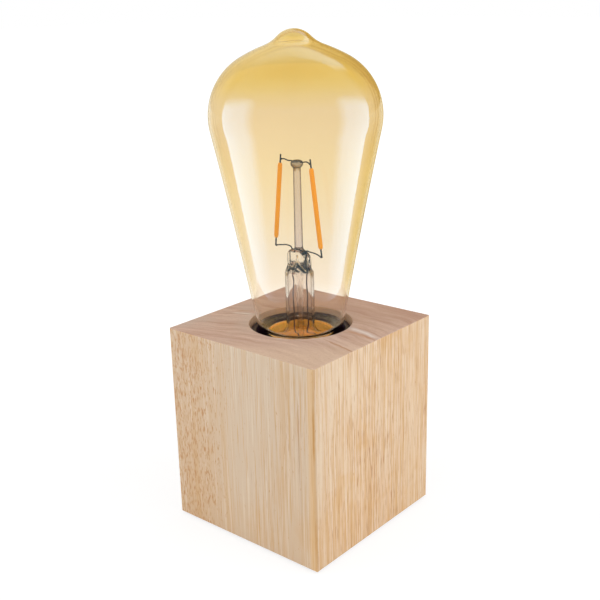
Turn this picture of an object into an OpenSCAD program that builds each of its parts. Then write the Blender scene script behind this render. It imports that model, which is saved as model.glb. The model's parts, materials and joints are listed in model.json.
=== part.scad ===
// Bare bulb table lamp: a wooden block with a screw-base filament bulb standing in a lamp holder
// that is sunk into the top of the block. Millimetres, +Z up, origin at the middle of the underside.
// The front of the block faces -Y, and the cord inlet is low in the back face, at +Y.

/* [Wooden block] */
// Width of the block, left to right
block_w = 72.6; // [68:0.1:84]
// Depth of the block, front to back
block_d = 72.6; // [68:0.1:84]
// Height of the wood, without the felt
block_h = 80.3; // [77:0.1:86]
// Rounding of the four upright edges
upright_edge_r = 1.1; // [0.3:0.1:2.5]
// Rounding of the edges round the top face
top_edge_r = 0.45; // [0.2:0.05:1.5]
// Rounding of the edges round the underside
bottom_edge_r = 1.3; // [0.3:0.1:2]
// Depth of the round well in the top that takes the lamp holder
well_depth = 54; // [53:0.5:56]
// Rounding of the rim of the well
well_rim_r = 0.3; // [0.1:0.05:0.8]
// Radius of the wiring recess in the underside
recess_r = 20; // [18:0.5:21.5]
// Depth of the wiring recess, from the underside of the wood
recess_depth = 16.3; // [14.8:0.1:17]

/* [Underside] */
// Thickness of the felt pad
felt_t = 0.8; // [0.6:0.1:1.2]
// How far the felt stops short of the sides of the block
felt_inset = 3.6; // [1:0.1:4]
// Corner radius of the felt pad
felt_corner_r = 2; // [1:0.5:6]
// Radius of the round cover over the wiring recess
cover_r = 27.7; // [26.5:0.1:29]
// Thickness of the cover
cover_t = 2; // [1.8:0.1:2.4]
// Number of screws in the cover
cover_screw_n = 3; // [2:1:6]
// Shank radius of a cover screw
cover_screw_r = 1.4; // [1.2:0.1:1.6]
// Head radius of a cover screw
cover_screw_head_r = 2.6; // [2.2:0.1:3]
// Depth of the countersunk head of a cover screw
cover_screw_head_h = 1.4; // [1.2:0.1:1.7]
// Length of a cover screw, head included
cover_screw_len = 11; // [8:0.5:13]

/* [Cord inlet] */
// Bore radius of the bushing in the cord inlet
inlet_bore_r = 3.5; // [3:0.1:4]
// Outer radius of the bushing
bushing_r = 5; // [4.6:0.1:5.2]
// Flange radius of the bushing
bushing_flange_r = 6.6; // [6:0.1:7.5]
// Flange thickness of the bushing, flush with the back face
bushing_flange_t = 1.2; // [0.8:0.1:2]
// Length of the bushing
bushing_len = 14; // [10:0.5:15]
// Height of the inlet above the underside of the wood
inlet_height = 8.9; // [8.6:0.1:9.2]

/* [Threaded nipple and nut] */
// Outer radius of the nipple that fixes the lamp holder
nipple_r = 5; // [4.6:0.1:5.4]
// Bore radius of the nipple
nipple_bore_r = 3.9; // [3.4:0.1:4.1]
// Length of nipple screwed into the lamp holder
nipple_grip = 7; // [6:0.5:8]
// Length of nipple that stands out below the nut
nipple_tail = 1.5; // [0.5:0.1:1.8]
// Width across the flats of the nut
nut_flats = 14; // [13:0.5:17]
// Thickness of the nut
nut_t = 4; // [3:0.1:4.4]
// Radius of the washer above the nut
washer_r = 9; // [8:0.5:11]
// Thickness of the washer
washer_t = 1.2; // [0.8:0.1:1.5]

/* [Lamp holder shells] */
// Outer radius of the lamp holder
holder_r = 19.5; // [19:0.1:20.5]
// Height of the domed cap, from the floor of the well to its shoulder
holder_cap_h = 14; // [13:0.5:15]
// Radius of the domed corner of the cap
holder_cap_dome_r = 12; // [10:0.5:12.5]
// Wall of the cap
holder_cap_wall = 2.2; // [1.8:0.1:2.4]
// Height of the spigot that the skirt screws over
spigot_h = 5; // [4:0.5:6]
// Wall of the spigot
spigot_wall = 2; // [1.6:0.1:2.2]
// Radius of the boss round the nipple inside the cap
cap_boss_r = 8; // [7.5:0.1:8.8]
// Height of the skirt
skirt_h = 37.5; // [37:0.1:38.5]
// Wall of the skirt
skirt_wall = 2.2; // [1.8:0.1:2.5]
// Rounding of the skirt's top rim
skirt_rim_r = 0.7; // [0.3:0.1:0.9]
// Width of the ledge inside the skirt that clamps the contact carrier
ledge_w = 1.7; // [1.2:0.1:2.2]
// Thickness of that ledge
ledge_t = 2; // [1.5:0.1:3]
// Number of finger ribs round the foot of the skirt
skirt_rib_n = 24; // [12:1:36]
// Depth of the finger ribs
skirt_rib_depth = 0.4; // [0.2:0.05:0.6]

/* [Contacts and terminals] */
// Thickness of the insulating contact carrier
carrier_t = 3; // [2.6:0.1:3.6]
// Depth of the terminal bar under the carrier
terminal_bar_h = 7; // [6.5:0.1:7.4]
// Width of the terminal bar
terminal_bar_w = 10; // [9:0.5:11]
// Bore radius of the metal screw shell
shell_bore_r = 12.95; // [12.9:0.01:13.2]
// Sheet thickness of the metal screw shell
shell_t = 0.4; // [0.3:0.05:0.6]
// Height of the screw shell above the contact carrier
shell_h = 24; // [22:0.5:25]
// Radius of the opening in the foot of the screw shell
shell_eye_r = 9.5; // [9.3:0.1:10]
// Thickness of the sprung centre contact
tongue_t = 0.5; // [0.4:0.05:0.6]
// Width of the sprung centre contact
tongue_w = 5; // [4:0.5:6]
// Height of the centre contact above the contact carrier, bulb in
tongue_rise = 1.3; // [1.1:0.1:1.6]
// Width of the side contact strip
side_strip_w = 3.5; // [3:0.1:4]
// Length of a terminal block, outwards
terminal_l = 4.5; // [4:0.1:5]
// Width of a terminal block
terminal_w = 6.5; // [5.5:0.1:7]
// Height of a terminal block
terminal_h = 5.2; // [4.8:0.1:5.4]
// Shank radius of a terminal screw
terminal_screw_r = 1.25; // [1:0.05:1.5]
// Head radius of a terminal screw
terminal_head_r = 2.2; // [1.9:0.1:2.5]
// Head height of a terminal screw
terminal_head_h = 1.5; // [1.2:0.1:1.7]
// Radius of the hole that takes a wire into a terminal
wire_hole_r = 1.2; // [0.9:0.1:1.4]
// Shank radius of the rivets in the foot of the screw shell
rivet_r = 0.8; // [0.6:0.1:0.9]
// Head radius of those rivets
rivet_head_r = 1.3; // [1.1:0.1:1.5]
// Distance of the rivets from the axis
rivet_ring_r = 11.3; // [11.2:0.1:11.5]

/* [Screw cap of the bulb] */
// Mean radius of the bulb's thread
cap_r = 12.65; // [12.4:0.01:12.7]
// Sheet thickness of the cap
cap_t = 0.35; // [0.25:0.05:0.5]
// Pitch of the screw thread, seven turns to the inch
thread_pitch = 3.629; // [3.62:0.001:3.64]
// Turns of thread on the cap
thread_turns = 4.13; // [4:0.01:4.3]
// Height of the curled lip that grips the insulator
cap_lip_h = 1.4; // [1:0.1:1.8]
// Radius at the foot of the curled lip
cap_lip_r = 11.6; // [11.2:0.1:11.8]
// Height of the step from the thread up to the collar
collar_step_h = 1.2; // [1:0.1:1.6]
// Radius of the collar round the neck of the glass
collar_r = 13.2; // [13.1:0.05:13.6]
// Height of the collar
collar_h = 3.2; // [2.6:0.1:3.6]
// Height of the insulator's cone below the lip
insulator_cone_h = 4.8; // [4.4:0.1:5.2]
// Radius at the foot of the insulator's cone
insulator_foot_r = 5.6; // [5.2:0.1:6.5]
// Height of the insulator inside the cap
insulator_seat_h = 1; // [0.6:0.1:1.4]
// Radius of the tip contact
tip_r = 4.75; // [4.3:0.05:5]
// Height of the tip contact
tip_h = 1.4; // [1.1:0.1:1.8]

/* [Glass bulb] */
// Greatest radius of the bulb
bulb_r = 32.05; // [30.5:0.05:33]
// Radius of the neck
neck_r = 12.5; // [12.3:0.05:12.55]
// Wall of the blown glass
glass_t = 0.9; // [0.6:0.05:1.2]
// How far below the rim of the cap the throat starts
throat_drop = 0.5; // [0.2:0.1:0.9]
// Radius of the throat between neck and heel
throat_r = 1.6; // [1.4:0.1:2.2]
// Turn of the throat, in degrees
throat_turn = 78; // [72:1:82]
// Radius of the rounded heel
heel_r = 4.4; // [4:0.1:5]
// Lean of the flared side at its foot, in degrees
flare_lean = 10; // [9.5:0.1:11]
// Further lean that the flared side gains on its way up, in degrees
flare_gain = 2.1; // [1:0.1:2.6]
// Radius of the shoulder
shoulder_r = 24.4; // [22:0.2:25]
// Lean of the crown where it leaves the shoulder, in degrees
crown_lean = 61.6; // [60:0.2:63]
// Lean of the crown at the foot of the tip, in degrees
crown_end_lean = 70.1; // [69:0.1:72]
// Radius at which the crown turns up into the tip
tip_foot_r = 10.6; // [10:0.1:11.2]
// Radius of the hollow at the foot of the tip
tip_hollow_r = 12; // [10.5:0.5:12.5]
// Lean of the tip's side where it starts to close, in degrees
tip_side_lean = 44.5; // [43:0.5:48]

/* [Stem] */
// Turn of the stem and its filaments from the block's front, bulb screwed home, in degrees
stem_turn = -9; // [-90:1:90]
// Outer radius of the stem tube
stem_r = 5.6; // [5.4:0.1:5.8]
// Wall of the stem tube
stem_t = 0.9; // [0.7:0.05:0.95]
// Radius of the flare at the foot of the stem
stem_flare_r = 11.3; // [11.1:0.05:11.35]
// Rounding of the flare
stem_flare_round = 5; // [4.6:0.1:5.2]
// Height of the stem tube above the rim of the cap
stem_rise = 23.6; // [22:0.2:26]
// Height of the flattened press on top of the stem
press_h = 9.2; // [8.6:0.1:10]
// Width of the press
press_w = 12.4; // [11.8:0.1:13]
// Thickness of the press
press_d = 4.4; // [3.8:0.1:5]
// Radius of the glass rod under its button
rod_r = 1.45; // [1.1:0.05:1.6]
// Radius of the glass rod at its foot
rod_foot_r = 1.65; // [1.1:0.05:1.8]
// Length of the glass rod, from the press to the button
rod_len = 31.4; // [30.5:0.1:32.5]
// Radius of the glass button on top of the rod
button_r = 2.4; // [2:0.1:2.8]
// Height of the glass button
button_h = 2.8; // [2.4:0.1:3.4]
// Outer radius of the exhaust tube
exhaust_r = 1.4; // [1.1:0.05:1.6]
// Wall of the exhaust tube
exhaust_t = 0.4; // [0.3:0.05:0.5]
// How far the exhaust tube reaches below the rim of the cap
exhaust_drop = 9.5; // [8:0.5:11]

/* [Filaments and wires] */
// Radius of a filament
filament_r = 0.93; // [0.6:0.01:1]
// Length of the coated stretch of a filament
filament_len = 30; // [28:0.5:31]
// Length of the taper at each end of a filament
filament_taper = 1.2; // [0.6:0.1:2]
// Outward lean of the right filament towards its foot, in degrees
right_lean = 8.6; // [7:0.1:9.5]
// Outward lean of the left filament towards its foot, in degrees
left_lean = 7.4; // [6.5:0.1:9]
// Distance from the axis to the foot of the right filament's lower pin
right_foot_x = 13; // [12.5:0.1:13.5]
// Distance from the axis to the foot of the left filament's lower pin
left_foot_x = 14; // [13:0.1:14.4]
// Length of each filament pin
pin_len = 3.3; // [2.6:0.1:3.6]
// Radius of a filament pin
pin_r = 0.3; // [0.25:0.05:0.4]
// Distance from the end of a filament up to its upper wire
upper_weld = 1.5; // [1:0.1:2.2]
// Radius of the wires
wire_r = 0.25; // [0.2:0.05:0.3]
// Distance from the axis to a wire in the stem
lead_x = 4.1; // [3.8:0.05:4.15]
// How far a wire runs level from the glass before it bends
wire_level = 2.4; // [1.5:0.1:3]
// How far the feet of the filaments hang below the top of the press
foot_drop = 1.1; // [0.6:0.1:1.6]

/* [Driver in the cap] */
// Width of the driver board
board_w = 15; // [13:0.5:16]
// Height of the driver board
board_h = 12; // [11:0.5:13]
// Thickness of the driver board
board_t = 1; // [0.8:0.1:1.2]
// Distance from the axis to the near face of the board
board_x = 2.6; // [2.4:0.1:3]
// Radius of the smoothing capacitor
capacitor_r = 3.1; // [2.5:0.1:3.2]
// Height of the smoothing capacitor
capacitor_h = 9; // [7:0.5:10]
// Thickness of the rectifier
rectifier_t = 1.8; // [1.2:0.1:2.4]
// Width of the rectifier
rectifier_w = 4.2; // [3.5:0.1:5]
// Height of the rectifier
rectifier_h = 5; // [4:0.1:6]
// Radius of the fusible resistor
resistor_r = 1.1; // [0.8:0.1:1.3]
// Length of the fusible resistor
resistor_len = 6.5; // [5:0.5:7]

/* [Clearances] */
// Gap all round between the lamp holder and the wall of the well
well_gap = 0.7; // [0.5:0.05:1]
// Gap round pieces that drop into their seats
seat_gap = 0.3; // [0.2:0.05:0.4]
// Gap round pieces that are screwed, riveted or pressed in place
fit_gap = 0.1; // [0.05:0.01:0.15]
// Gap between the tip of the bulb and the centre contact
contact_gap = 0.3; // [0.25:0.05:0.4]

/* [Hidden] */

round_fn = 96;              // full circles
small_fn = 48;              // small round pieces
arc_steps = 10;             // straight steps in one rounded stretch of an outline
cut = 1;                    // how far a cutter reaches past the face it opens
mid = 0.5;
shoulder_inset = 1;          // how far the shoulders of the press draw in at its top
solder_inset = 2;            // how far in from the edge of the driver board its leads are soldered
bead_swell = 0.03;          // how far a bead at a bend of a wire stands proud of it

// Heights of the block
wood_z = felt_t;
block_top = wood_z + block_h;
well_r = holder_r + well_gap;
well_floor = block_top - well_depth;
recess_top = wood_z + recess_depth;
cover_seat_r = cover_r + seat_gap;
cover_screw_ring = mid * (recess_r + cover_r);
inlet_z = wood_z + inlet_height;
back_y = mid * block_d;

// Heights of the nipple and its nut
washer_z = recess_top - washer_t;
nut_z = washer_z - nut_t;
nipple_z = nut_z - nipple_tail;

// Heights of the lamp holder
cap_shoulder = well_floor + holder_cap_h;
spigot_top = cap_shoulder + spigot_h;
spigot_r = holder_r - skirt_wall - seat_gap;
spigot_bore_r = spigot_r - spigot_wall;
skirt_top = cap_shoulder + skirt_h;
skirt_bore_r = holder_r - skirt_wall;
carrier_r = skirt_bore_r - seat_gap;
carrier_top = spigot_top + carrier_t;
cap_floor = well_floor + holder_cap_wall;
nipple_top = cap_floor + nipple_grip;
boss_top = nipple_top + mid;
lock_screw_z = nipple_top - mid * nipple_grip;
lock_screw_r = 1.5;
shell_top = carrier_top + shell_h;
rivet_head_h = mid;
terminal_end_x = sqrt(pow(spigot_bore_r, 2) - pow(terminal_head_r, 2)) - seat_gap;
side_leg_x = terminal_end_x - terminal_head_h - terminal_l - tongue_t;
contact_leg_x = side_leg_x - tongue_t - mid;
block_z = spigot_top - terminal_h - mid;

// Heights of the bulb's cap
tip_z = carrier_top + tongue_rise + contact_gap;
insulator_z = tip_z + tip_h;
lip_z = insulator_z + insulator_cone_h;
thread_z = lip_z + cap_lip_h;
thread_top = thread_z + thread_turns * thread_pitch;
collar_z = thread_top + collar_step_h;
cap_top = collar_z + collar_h;
cap_bore_r = cap_r - cap_t;
insulator_top = thread_z + insulator_seat_h;
wire_eye_r = 1;

// Heights of the stem and the filaments
neck_z = collar_z + seat_gap;
stem_top = cap_top + stem_rise;
press_top = stem_top + press_h;
button_z = press_top + rod_len;
stem_foot = neck_z;
exhaust_z = cap_top - exhaust_drop;
bend_z = press_top + wire_r + fit_gap;
foot_z = press_top - foot_drop;
weld_gap = pin_r + wire_r + fit_gap;
upper_wire_z = button_z + 0.75 * button_h;

// ---- outlines ----

// A point on an outline is [radius, height, lean]: the lean of the outline there from straight up,
// positive outwards. A turn has a positive radius where the outline closes in, negative where it opens.
function outward(lean) = [cos(lean), -sin(lean)];
function spot(p) = [p.x, p.y];
function turn_point(from, r, lean) =
    let (at = spot(from) + r * (outward(lean) - outward(from[2]))) [at.x, at.y, lean];
function turn(from, r, lean, steps = arc_steps) =
    [for (i = [1 : steps]) turn_point(from, r, from[2] + (lean - from[2]) * i / steps)];

// Round corner of an outline about a centre, from one angle to another
function corner(centre, r, from, to, steps = arc_steps) =
    [for (i = [0 : steps]) let (a = from + (to - from) * i / steps) centre + r * [cos(a), sin(a)]];

// The side of the blown bulb, from the neck to the tip
heel_turned = turn_point(turn_point([neck_r, 0, 0], -throat_r, throat_turn), heel_r, flare_lean);
flare_end_lean = flare_lean + flare_gain;
shoulder_foot_r = bulb_r - shoulder_r * (1 - cos(flare_end_lean));
flare_bow = (shoulder_foot_r - heel_turned.x) / (cos(flare_lean) - cos(flare_end_lean));
neck_end = [neck_r, cap_top - throat_drop, 0];
throat_pts = turn(neck_end, -throat_r, throat_turn);
heel_pts = turn(throat_pts[arc_steps - 1], heel_r, flare_lean);
flare_pts = turn(heel_pts[arc_steps - 1], -flare_bow, flare_end_lean);
shoulder_pts = turn(flare_pts[arc_steps - 1], shoulder_r, -crown_lean, 2 * arc_steps);
crown_foot = shoulder_pts[2 * arc_steps - 1];
crown_r = (crown_foot.x - tip_foot_r) / (cos(crown_lean) - cos(crown_end_lean));
crown_pts = turn(crown_foot, crown_r, -crown_end_lean);
hollow_pts = turn(crown_pts[arc_steps - 1], -tip_hollow_r, -tip_side_lean);
tip_side = hollow_pts[arc_steps - 1];
tip_pts = turn(tip_side, tip_side.x / cos(tip_side_lean), -90);
bulb_side = concat([[neck_r, neck_z, 0], neck_end], throat_pts, heel_pts, flare_pts,
                   shoulder_pts, crown_pts, hollow_pts, tip_pts);

// One side of a shell: the outline moved inwards along its own normals
function side(points, inward = 0) =
    [for (p = points) let (q = spot(p) - inward * outward(p[2])) [max(0, q.x), q.y]];
function backwards(points) = [for (i = [len(points) - 1 : -1 : 0]) points[i]];

// ---- shared shapes ----

module revolve(points, fn = round_fn) {
    rotate_extrude($fn = fn) polygon(points);
}

module ring(r, bore, h, fn = round_fn) {
    difference() {
        cylinder(r = r, h = h, $fn = fn);
        translate([0, 0, -cut]) cylinder(r = bore, h = h + 2 * cut, $fn = fn);
    }
}

// Rectangle with its own radius at the two low corners and at the two high ones
module rounded_face(w, h, low_r, high_r) {
    difference() {
        translate([-mid * w, 0]) square([w, h]);
        for (s = [-1, 1]) {
            corner_notch(s * mid * w, 0, s, 1, low_r);
            corner_notch(s * mid * w, h, s, -1, high_r);
        }
    }
}

module corner_notch(x, y, side_x, side_y, r) {
    translate([x - side_x * r, y + side_y * r]) difference() {
        translate([side_x > 0 ? 0 : -r - cut, side_y > 0 ? -r - cut : 0]) square(r + cut);
        circle(r = r, $fn = small_fn);
    }
}

// Straight round wire between two points, with a small bead at each end
module wire(a, b, r = wire_r) {
    run = b - a;
    translate(a) sphere(r = r + bead_swell, $fn = 16);
    translate(b) sphere(r = r + bead_swell, $fn = 16);
    translate(a) rotate([0, acos(run.z / norm(run)), atan2(run.y, run.x)])
        cylinder(r = r, h = norm(run), $fn = 16);
}

module wire_path(points, r = wire_r) {
    for (i = [1 : len(points) - 1]) wire(points[i - 1], points[i], r);
}

module at_cover_screws() {
    for (i = [0 : cover_screw_n - 1])
        rotate([0, 0, 90 + (i + mid) * 360 / cover_screw_n]) translate([cover_screw_ring, 0, wood_z])
            children();
}

// ---- block and underside ----

module wood_block() {
    color([0.84, 0.71, 0.54]) difference() {
        intersection() {
            translate([0, 0, wood_z]) linear_extrude(block_h)
                translate([0, -mid * block_d])
                    rounded_face(block_w, block_d, upright_edge_r, upright_edge_r);
            translate([0, mid * block_d, wood_z]) rotate([90, 0, 0]) linear_extrude(block_d)
                rounded_face(block_w, block_h, bottom_edge_r, top_edge_r);
            translate([-mid * block_w, 0, wood_z]) rotate([90, 0, 90]) linear_extrude(block_w)
                rounded_face(block_d, block_h, bottom_edge_r, top_edge_r);
        }
        translate([0, 0, well_floor]) cylinder(r = well_r, h = well_depth + cut, $fn = round_fn);
        well_rim_cutter();
        translate([0, 0, recess_top - cut])
            cylinder(r = nipple_r + seat_gap, h = well_floor - recess_top + 2 * cut, $fn = small_fn);
        translate([0, 0, wood_z - cut]) cylinder(r = recess_r, h = recess_depth + cut, $fn = round_fn);
        translate([0, 0, wood_z - cut]) cylinder(r = cover_seat_r, h = cover_t + cut, $fn = round_fn);
        at_cover_screws() cylinder(r = cover_screw_r + fit_gap, h = cover_screw_len + mid, $fn = small_fn);
        at_inlet() cylinder(r = bushing_r + fit_gap, h = block_d, $fn = small_fn);
        at_inlet() translate([0, 0, -cut])
            cylinder(r = bushing_flange_r + fit_gap, h = bushing_flange_t + fit_gap + cut, $fn = small_fn);
    }
}

// Takes the sharp corner off the rim of the well
module well_rim_cutter() {
    rim = [well_r + well_rim_r, block_top - well_rim_r];
    revolve(concat([[well_r - cut, rim.y], [well_r, rim.y]], corner(rim, well_rim_r, 180, 90, 4),
                   [[rim.x, block_top + cut], [well_r - cut, block_top + cut]]));
}

// Puts a cutter or the bushing on the back face, pointing forwards into the block
module at_inlet() {
    intersection() {
        translate([0, back_y, inlet_z]) rotate([90, 0, 0]) children();
        translate([-block_w, 0, 0]) cube([2 * block_w, block_d, block_top]);
    }
}

module felt_pad() {
    w = block_w - 2 * felt_inset;
    d = block_d - 2 * felt_inset;
    color([0.10, 0.10, 0.11]) linear_extrude(felt_t)
        translate([0, -mid * d]) rounded_face(w, d, felt_corner_r, felt_corner_r);
}

module base_cover() {
    color([0.13, 0.13, 0.14]) difference() {
        translate([0, 0, wood_z]) cylinder(r = cover_r, h = cover_t, $fn = round_fn);
        at_cover_screws() translate([0, 0, -cut])
            cylinder(r = cover_screw_r + fit_gap, h = cover_t + 2 * cut, $fn = small_fn);
        at_cover_screws() countersink(fit_gap);
    }
}

module countersink(gap = 0) {
    revolve([[0, -gap], [cover_screw_head_r + gap, -gap], [cover_screw_head_r + gap, 0],
             [cover_screw_r + gap, cover_screw_head_h], [0, cover_screw_head_h]], small_fn);
}

module cover_screws() {
    point_h = 2 * cover_screw_r;
    color([0.62, 0.62, 0.60]) at_cover_screws() union() {
        countersink();
        revolve([[0, 0], [cover_screw_r, 0], [cover_screw_r, cover_screw_len - point_h],
                 [0, cover_screw_len]], small_fn);
    }
}

module cord_bushing() {
    color([0.09, 0.09, 0.09]) difference() {
        union() {
            at_inlet() cylinder(r = bushing_r, h = bushing_len, $fn = small_fn);
            at_inlet() cylinder(r = bushing_flange_r, h = bushing_flange_t, $fn = small_fn);
        }
        translate([0, back_y + cut, inlet_z]) rotate([90, 0, 0])
            cylinder(r = inlet_bore_r, h = bushing_len + 2 * cut, $fn = small_fn);
    }
}

// ---- fixing of the lamp holder ----

module threaded_nipple() {
    color([0.74, 0.72, 0.66]) translate([0, 0, nipple_z])
        ring(nipple_r, nipple_bore_r, nipple_top - nipple_z, small_fn);
}

module nipple_nut() {
    color([0.70, 0.69, 0.65]) translate([0, 0, nut_z]) difference() {
        cylinder(d = nut_flats / cos(30), h = nut_t, $fn = 6);
        translate([0, 0, -cut]) cylinder(r = nipple_r + fit_gap, h = nut_t + 2 * cut, $fn = small_fn);
    }
}

module nipple_washer() {
    color([0.72, 0.71, 0.68]) translate([0, 0, washer_z])
        ring(washer_r, nipple_r + seat_gap, washer_t, small_fn);
}

module nipple_lock_screw() {
    reach = cap_boss_r + mid - nipple_r - fit_gap;
    color([0.60, 0.60, 0.58]) translate([0, nipple_r + fit_gap, lock_screw_z]) rotate([-90, 0, 0])
        cylinder(r = lock_screw_r, h = reach, $fn = small_fn);
}

// ---- lamp holder ----

module holder_cap() {
    dome_foot = holder_r - holder_cap_dome_r;
    bowl_r = holder_cap_dome_r - holder_cap_wall;
    bowl_z = well_floor + holder_cap_dome_r;
    bowl_foot = spigot_bore_r - bowl_r;
    color([0.05, 0.05, 0.05]) difference() {
        union() {
            difference() {
                revolve(concat([[0, well_floor]],
                               corner([dome_foot, bowl_z], holder_cap_dome_r, -90, 0),
                               [[holder_r, cap_shoulder], [spigot_r, cap_shoulder],
                                [spigot_r, spigot_top], [0, spigot_top]]));
                revolve(concat([[0, cap_floor]], corner([bowl_foot, bowl_z], bowl_r, -90, 0),
                               [[spigot_bore_r, spigot_top + cut], [0, spigot_top + cut]]));
            }
            translate([0, 0, well_floor + mid * holder_cap_wall])
                cylinder(r = cap_boss_r, h = boss_top - well_floor - mid * holder_cap_wall, $fn = round_fn);
        }
        translate([0, 0, well_floor - cut])
            cylinder(r = nipple_r + fit_gap, h = holder_cap_h + spigot_h, $fn = small_fn);
        translate([0, 0, lock_screw_z]) rotate([-90, 0, 0])
            cylinder(r = lock_screw_r + fit_gap, h = cap_boss_r + cut, $fn = small_fn);
    }
}

module holder_skirt() {
    rim_in = skirt_bore_r + skirt_rim_r;
    rim_out = holder_r - skirt_rim_r;
    rim_z = skirt_top - skirt_rim_r;
    rib_top = carrier_top + ledge_t;
    color([0.05, 0.05, 0.05]) difference() {
        revolve(concat([[skirt_bore_r, cap_shoulder], [holder_r, cap_shoulder]],
                       corner([rim_out, rim_z], skirt_rim_r, 0, 90),
                       corner([rim_in, rim_z], skirt_rim_r, 90, 180),
                       [[skirt_bore_r, rib_top], [skirt_bore_r - ledge_w, rib_top],
                        [skirt_bore_r - ledge_w, carrier_top], [skirt_bore_r, carrier_top]]));
        for (i = [0 : skirt_rib_n - 1]) rotate([0, 0, i * 360 / skirt_rib_n])
            translate([holder_r + skirt_rib_depth, 0, cap_shoulder + cut])
                cylinder(r = 2 * skirt_rib_depth, h = rib_top - cap_shoulder - cut, $fn = 16);
    }
}

// Slot in the carrier for the upright leg of a contact strip
module leg_slot(x, w) {
    translate([x - fit_gap, -mid * w - fit_gap, spigot_top - terminal_bar_h - cut])
        cube([tongue_t + 2 * fit_gap, w + 2 * fit_gap, carrier_t + terminal_bar_h + 2 * cut]);
}

module contact_carrier() {
    bar_l = 2 * (side_leg_x + tongue_t + terminal_l) + fit_gap;
    color([0.90, 0.88, 0.82]) difference() {
        union() {
            translate([0, 0, spigot_top]) cylinder(r = carrier_r, h = carrier_t, $fn = round_fn);
            translate([-mid * bar_l, -mid * terminal_bar_w, spigot_top - terminal_bar_h])
                cube([bar_l, terminal_bar_w, terminal_bar_h + mid * carrier_t]);
        }
        leg_slot(contact_leg_x, tongue_w);
        leg_slot(-side_leg_x - tongue_t, side_strip_w);
        terminal_pocket(1, contact_leg_x + tongue_t);
        terminal_pocket(-1, side_leg_x + tongue_t);
        at_terminals() translate([mid * terminal_l, 0, -terminal_bar_h])
            cylinder(r = wire_hole_r + fit_gap, h = terminal_bar_h, $fn = small_fn);
        for (s = [-1, 1]) translate([0, s * rivet_ring_r, spigot_top - cut])
            cylinder(r = rivet_r + fit_gap, h = carrier_t + 2 * cut, $fn = small_fn);
    }
}

// Open-ended pocket in the terminal bar for one terminal block
module terminal_pocket(s, x) {
    pocket_l = terminal_l + carrier_r;
    low = block_z - fit_gap;
    translate([s > 0 ? x - fit_gap : -x - pocket_l + fit_gap, -mid * terminal_w - fit_gap, low])
        cube([pocket_l, terminal_w + 2 * fit_gap, terminal_h + 2 * fit_gap]);
}

module screw_shell() {
    color([0.80, 0.66, 0.36]) difference() {
        revolve([[shell_eye_r, carrier_top], [shell_bore_r + shell_t, carrier_top],
                 [shell_bore_r + shell_t, shell_top], [shell_bore_r, shell_top],
                 [shell_bore_r, carrier_top + shell_t], [shell_eye_r, carrier_top + shell_t]]);
        for (s = [-1, 1]) translate([0, s * rivet_ring_r, carrier_top - cut])
            cylinder(r = rivet_r + fit_gap, h = shell_t + 2 * cut, $fn = small_fn);
    }
}

module shell_rivets() {
    color([0.78, 0.70, 0.50]) for (s = [-1, 1]) translate([0, s * rivet_ring_r, 0]) union() {
        translate([0, 0, carrier_top + shell_t])
            cylinder(r = rivet_head_r, h = rivet_head_h, $fn = small_fn);
        translate([0, 0, spigot_top - rivet_head_h])
            cylinder(r = rivet_r, h = carrier_t + shell_t + 2 * rivet_head_h, $fn = small_fn);
        translate([0, 0, spigot_top - rivet_head_h])
            cylinder(r = rivet_head_r, h = rivet_head_h, $fn = small_fn);
    }
}

// Bent strip: an upright leg down to its terminal and an arm that springs up under the bulb's tip
module centre_contact() {
    arm_end = -3;
    knee_z = carrier_top + fit_gap;
    tip_contact_z = carrier_top + tongue_rise;
    leg_out = contact_leg_x + tongue_t;
    color([0.80, 0.62, 0.38]) translate([0, mid * tongue_w, 0]) rotate([90, 0, 0])
        linear_extrude(tongue_w)
            polygon([[contact_leg_x, block_z], [leg_out, block_z], [leg_out, knee_z + tongue_t],
                     [0, tip_contact_z], [arm_end, tip_contact_z], [arm_end, tip_contact_z - tongue_t],
                     [0, tip_contact_z - tongue_t], [contact_leg_x, knee_z]]);
}

module side_contact() {
    leg_in = -side_leg_x;
    leg_out = leg_in - tongue_t;
    tab_z = carrier_top + shell_t;
    tab_end = -shell_bore_r + seat_gap + mid;
    color([0.80, 0.66, 0.40]) translate([0, mid * side_strip_w, 0]) rotate([90, 0, 0])
        linear_extrude(side_strip_w)
            polygon([[leg_in, block_z], [leg_in, tab_z + tongue_t], [tab_end, tab_z + tongue_t],
                     [tab_end, tab_z], [leg_out, tab_z], [leg_out, block_z]]);
}

module at_terminals() {
    translate([contact_leg_x + tongue_t, 0, block_z]) children();
    mirror([1, 0, 0]) translate([side_leg_x + tongue_t, 0, block_z]) children();
}

module terminal_blocks() {
    color([0.82, 0.70, 0.42]) at_terminals() difference() {
        translate([0, -mid * terminal_w, 0]) cube([terminal_l, terminal_w, terminal_h]);
        translate([mid * terminal_l, 0, -cut])
            cylinder(r = wire_hole_r, h = mid * terminal_h + cut, $fn = small_fn);
        translate([mid * terminal_l, 0, mid * terminal_h]) rotate([0, 90, 0])
            cylinder(r = terminal_screw_r + fit_gap, h = terminal_l, $fn = small_fn);
    }
}

module terminal_screws() {
    bite = mid * terminal_l - fit_gap;
    slot_w = 0.6;
    slot_d = 0.7;
    color([0.66, 0.66, 0.64]) at_terminals()
        translate([terminal_l, 0, mid * terminal_h]) rotate([0, 90, 0]) difference() {
            union() {
                cylinder(r = terminal_head_r, h = terminal_head_h, $fn = small_fn);
                translate([0, 0, -bite]) cylinder(r = terminal_screw_r, h = bite + fit_gap, $fn = small_fn);
            }
            translate([-terminal_head_r, -mid * slot_w, terminal_head_h - slot_d])
                cube([2 * terminal_head_r, slot_w, slot_d + cut]);
        }
}

// ---- screw cap of the bulb ----

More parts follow.
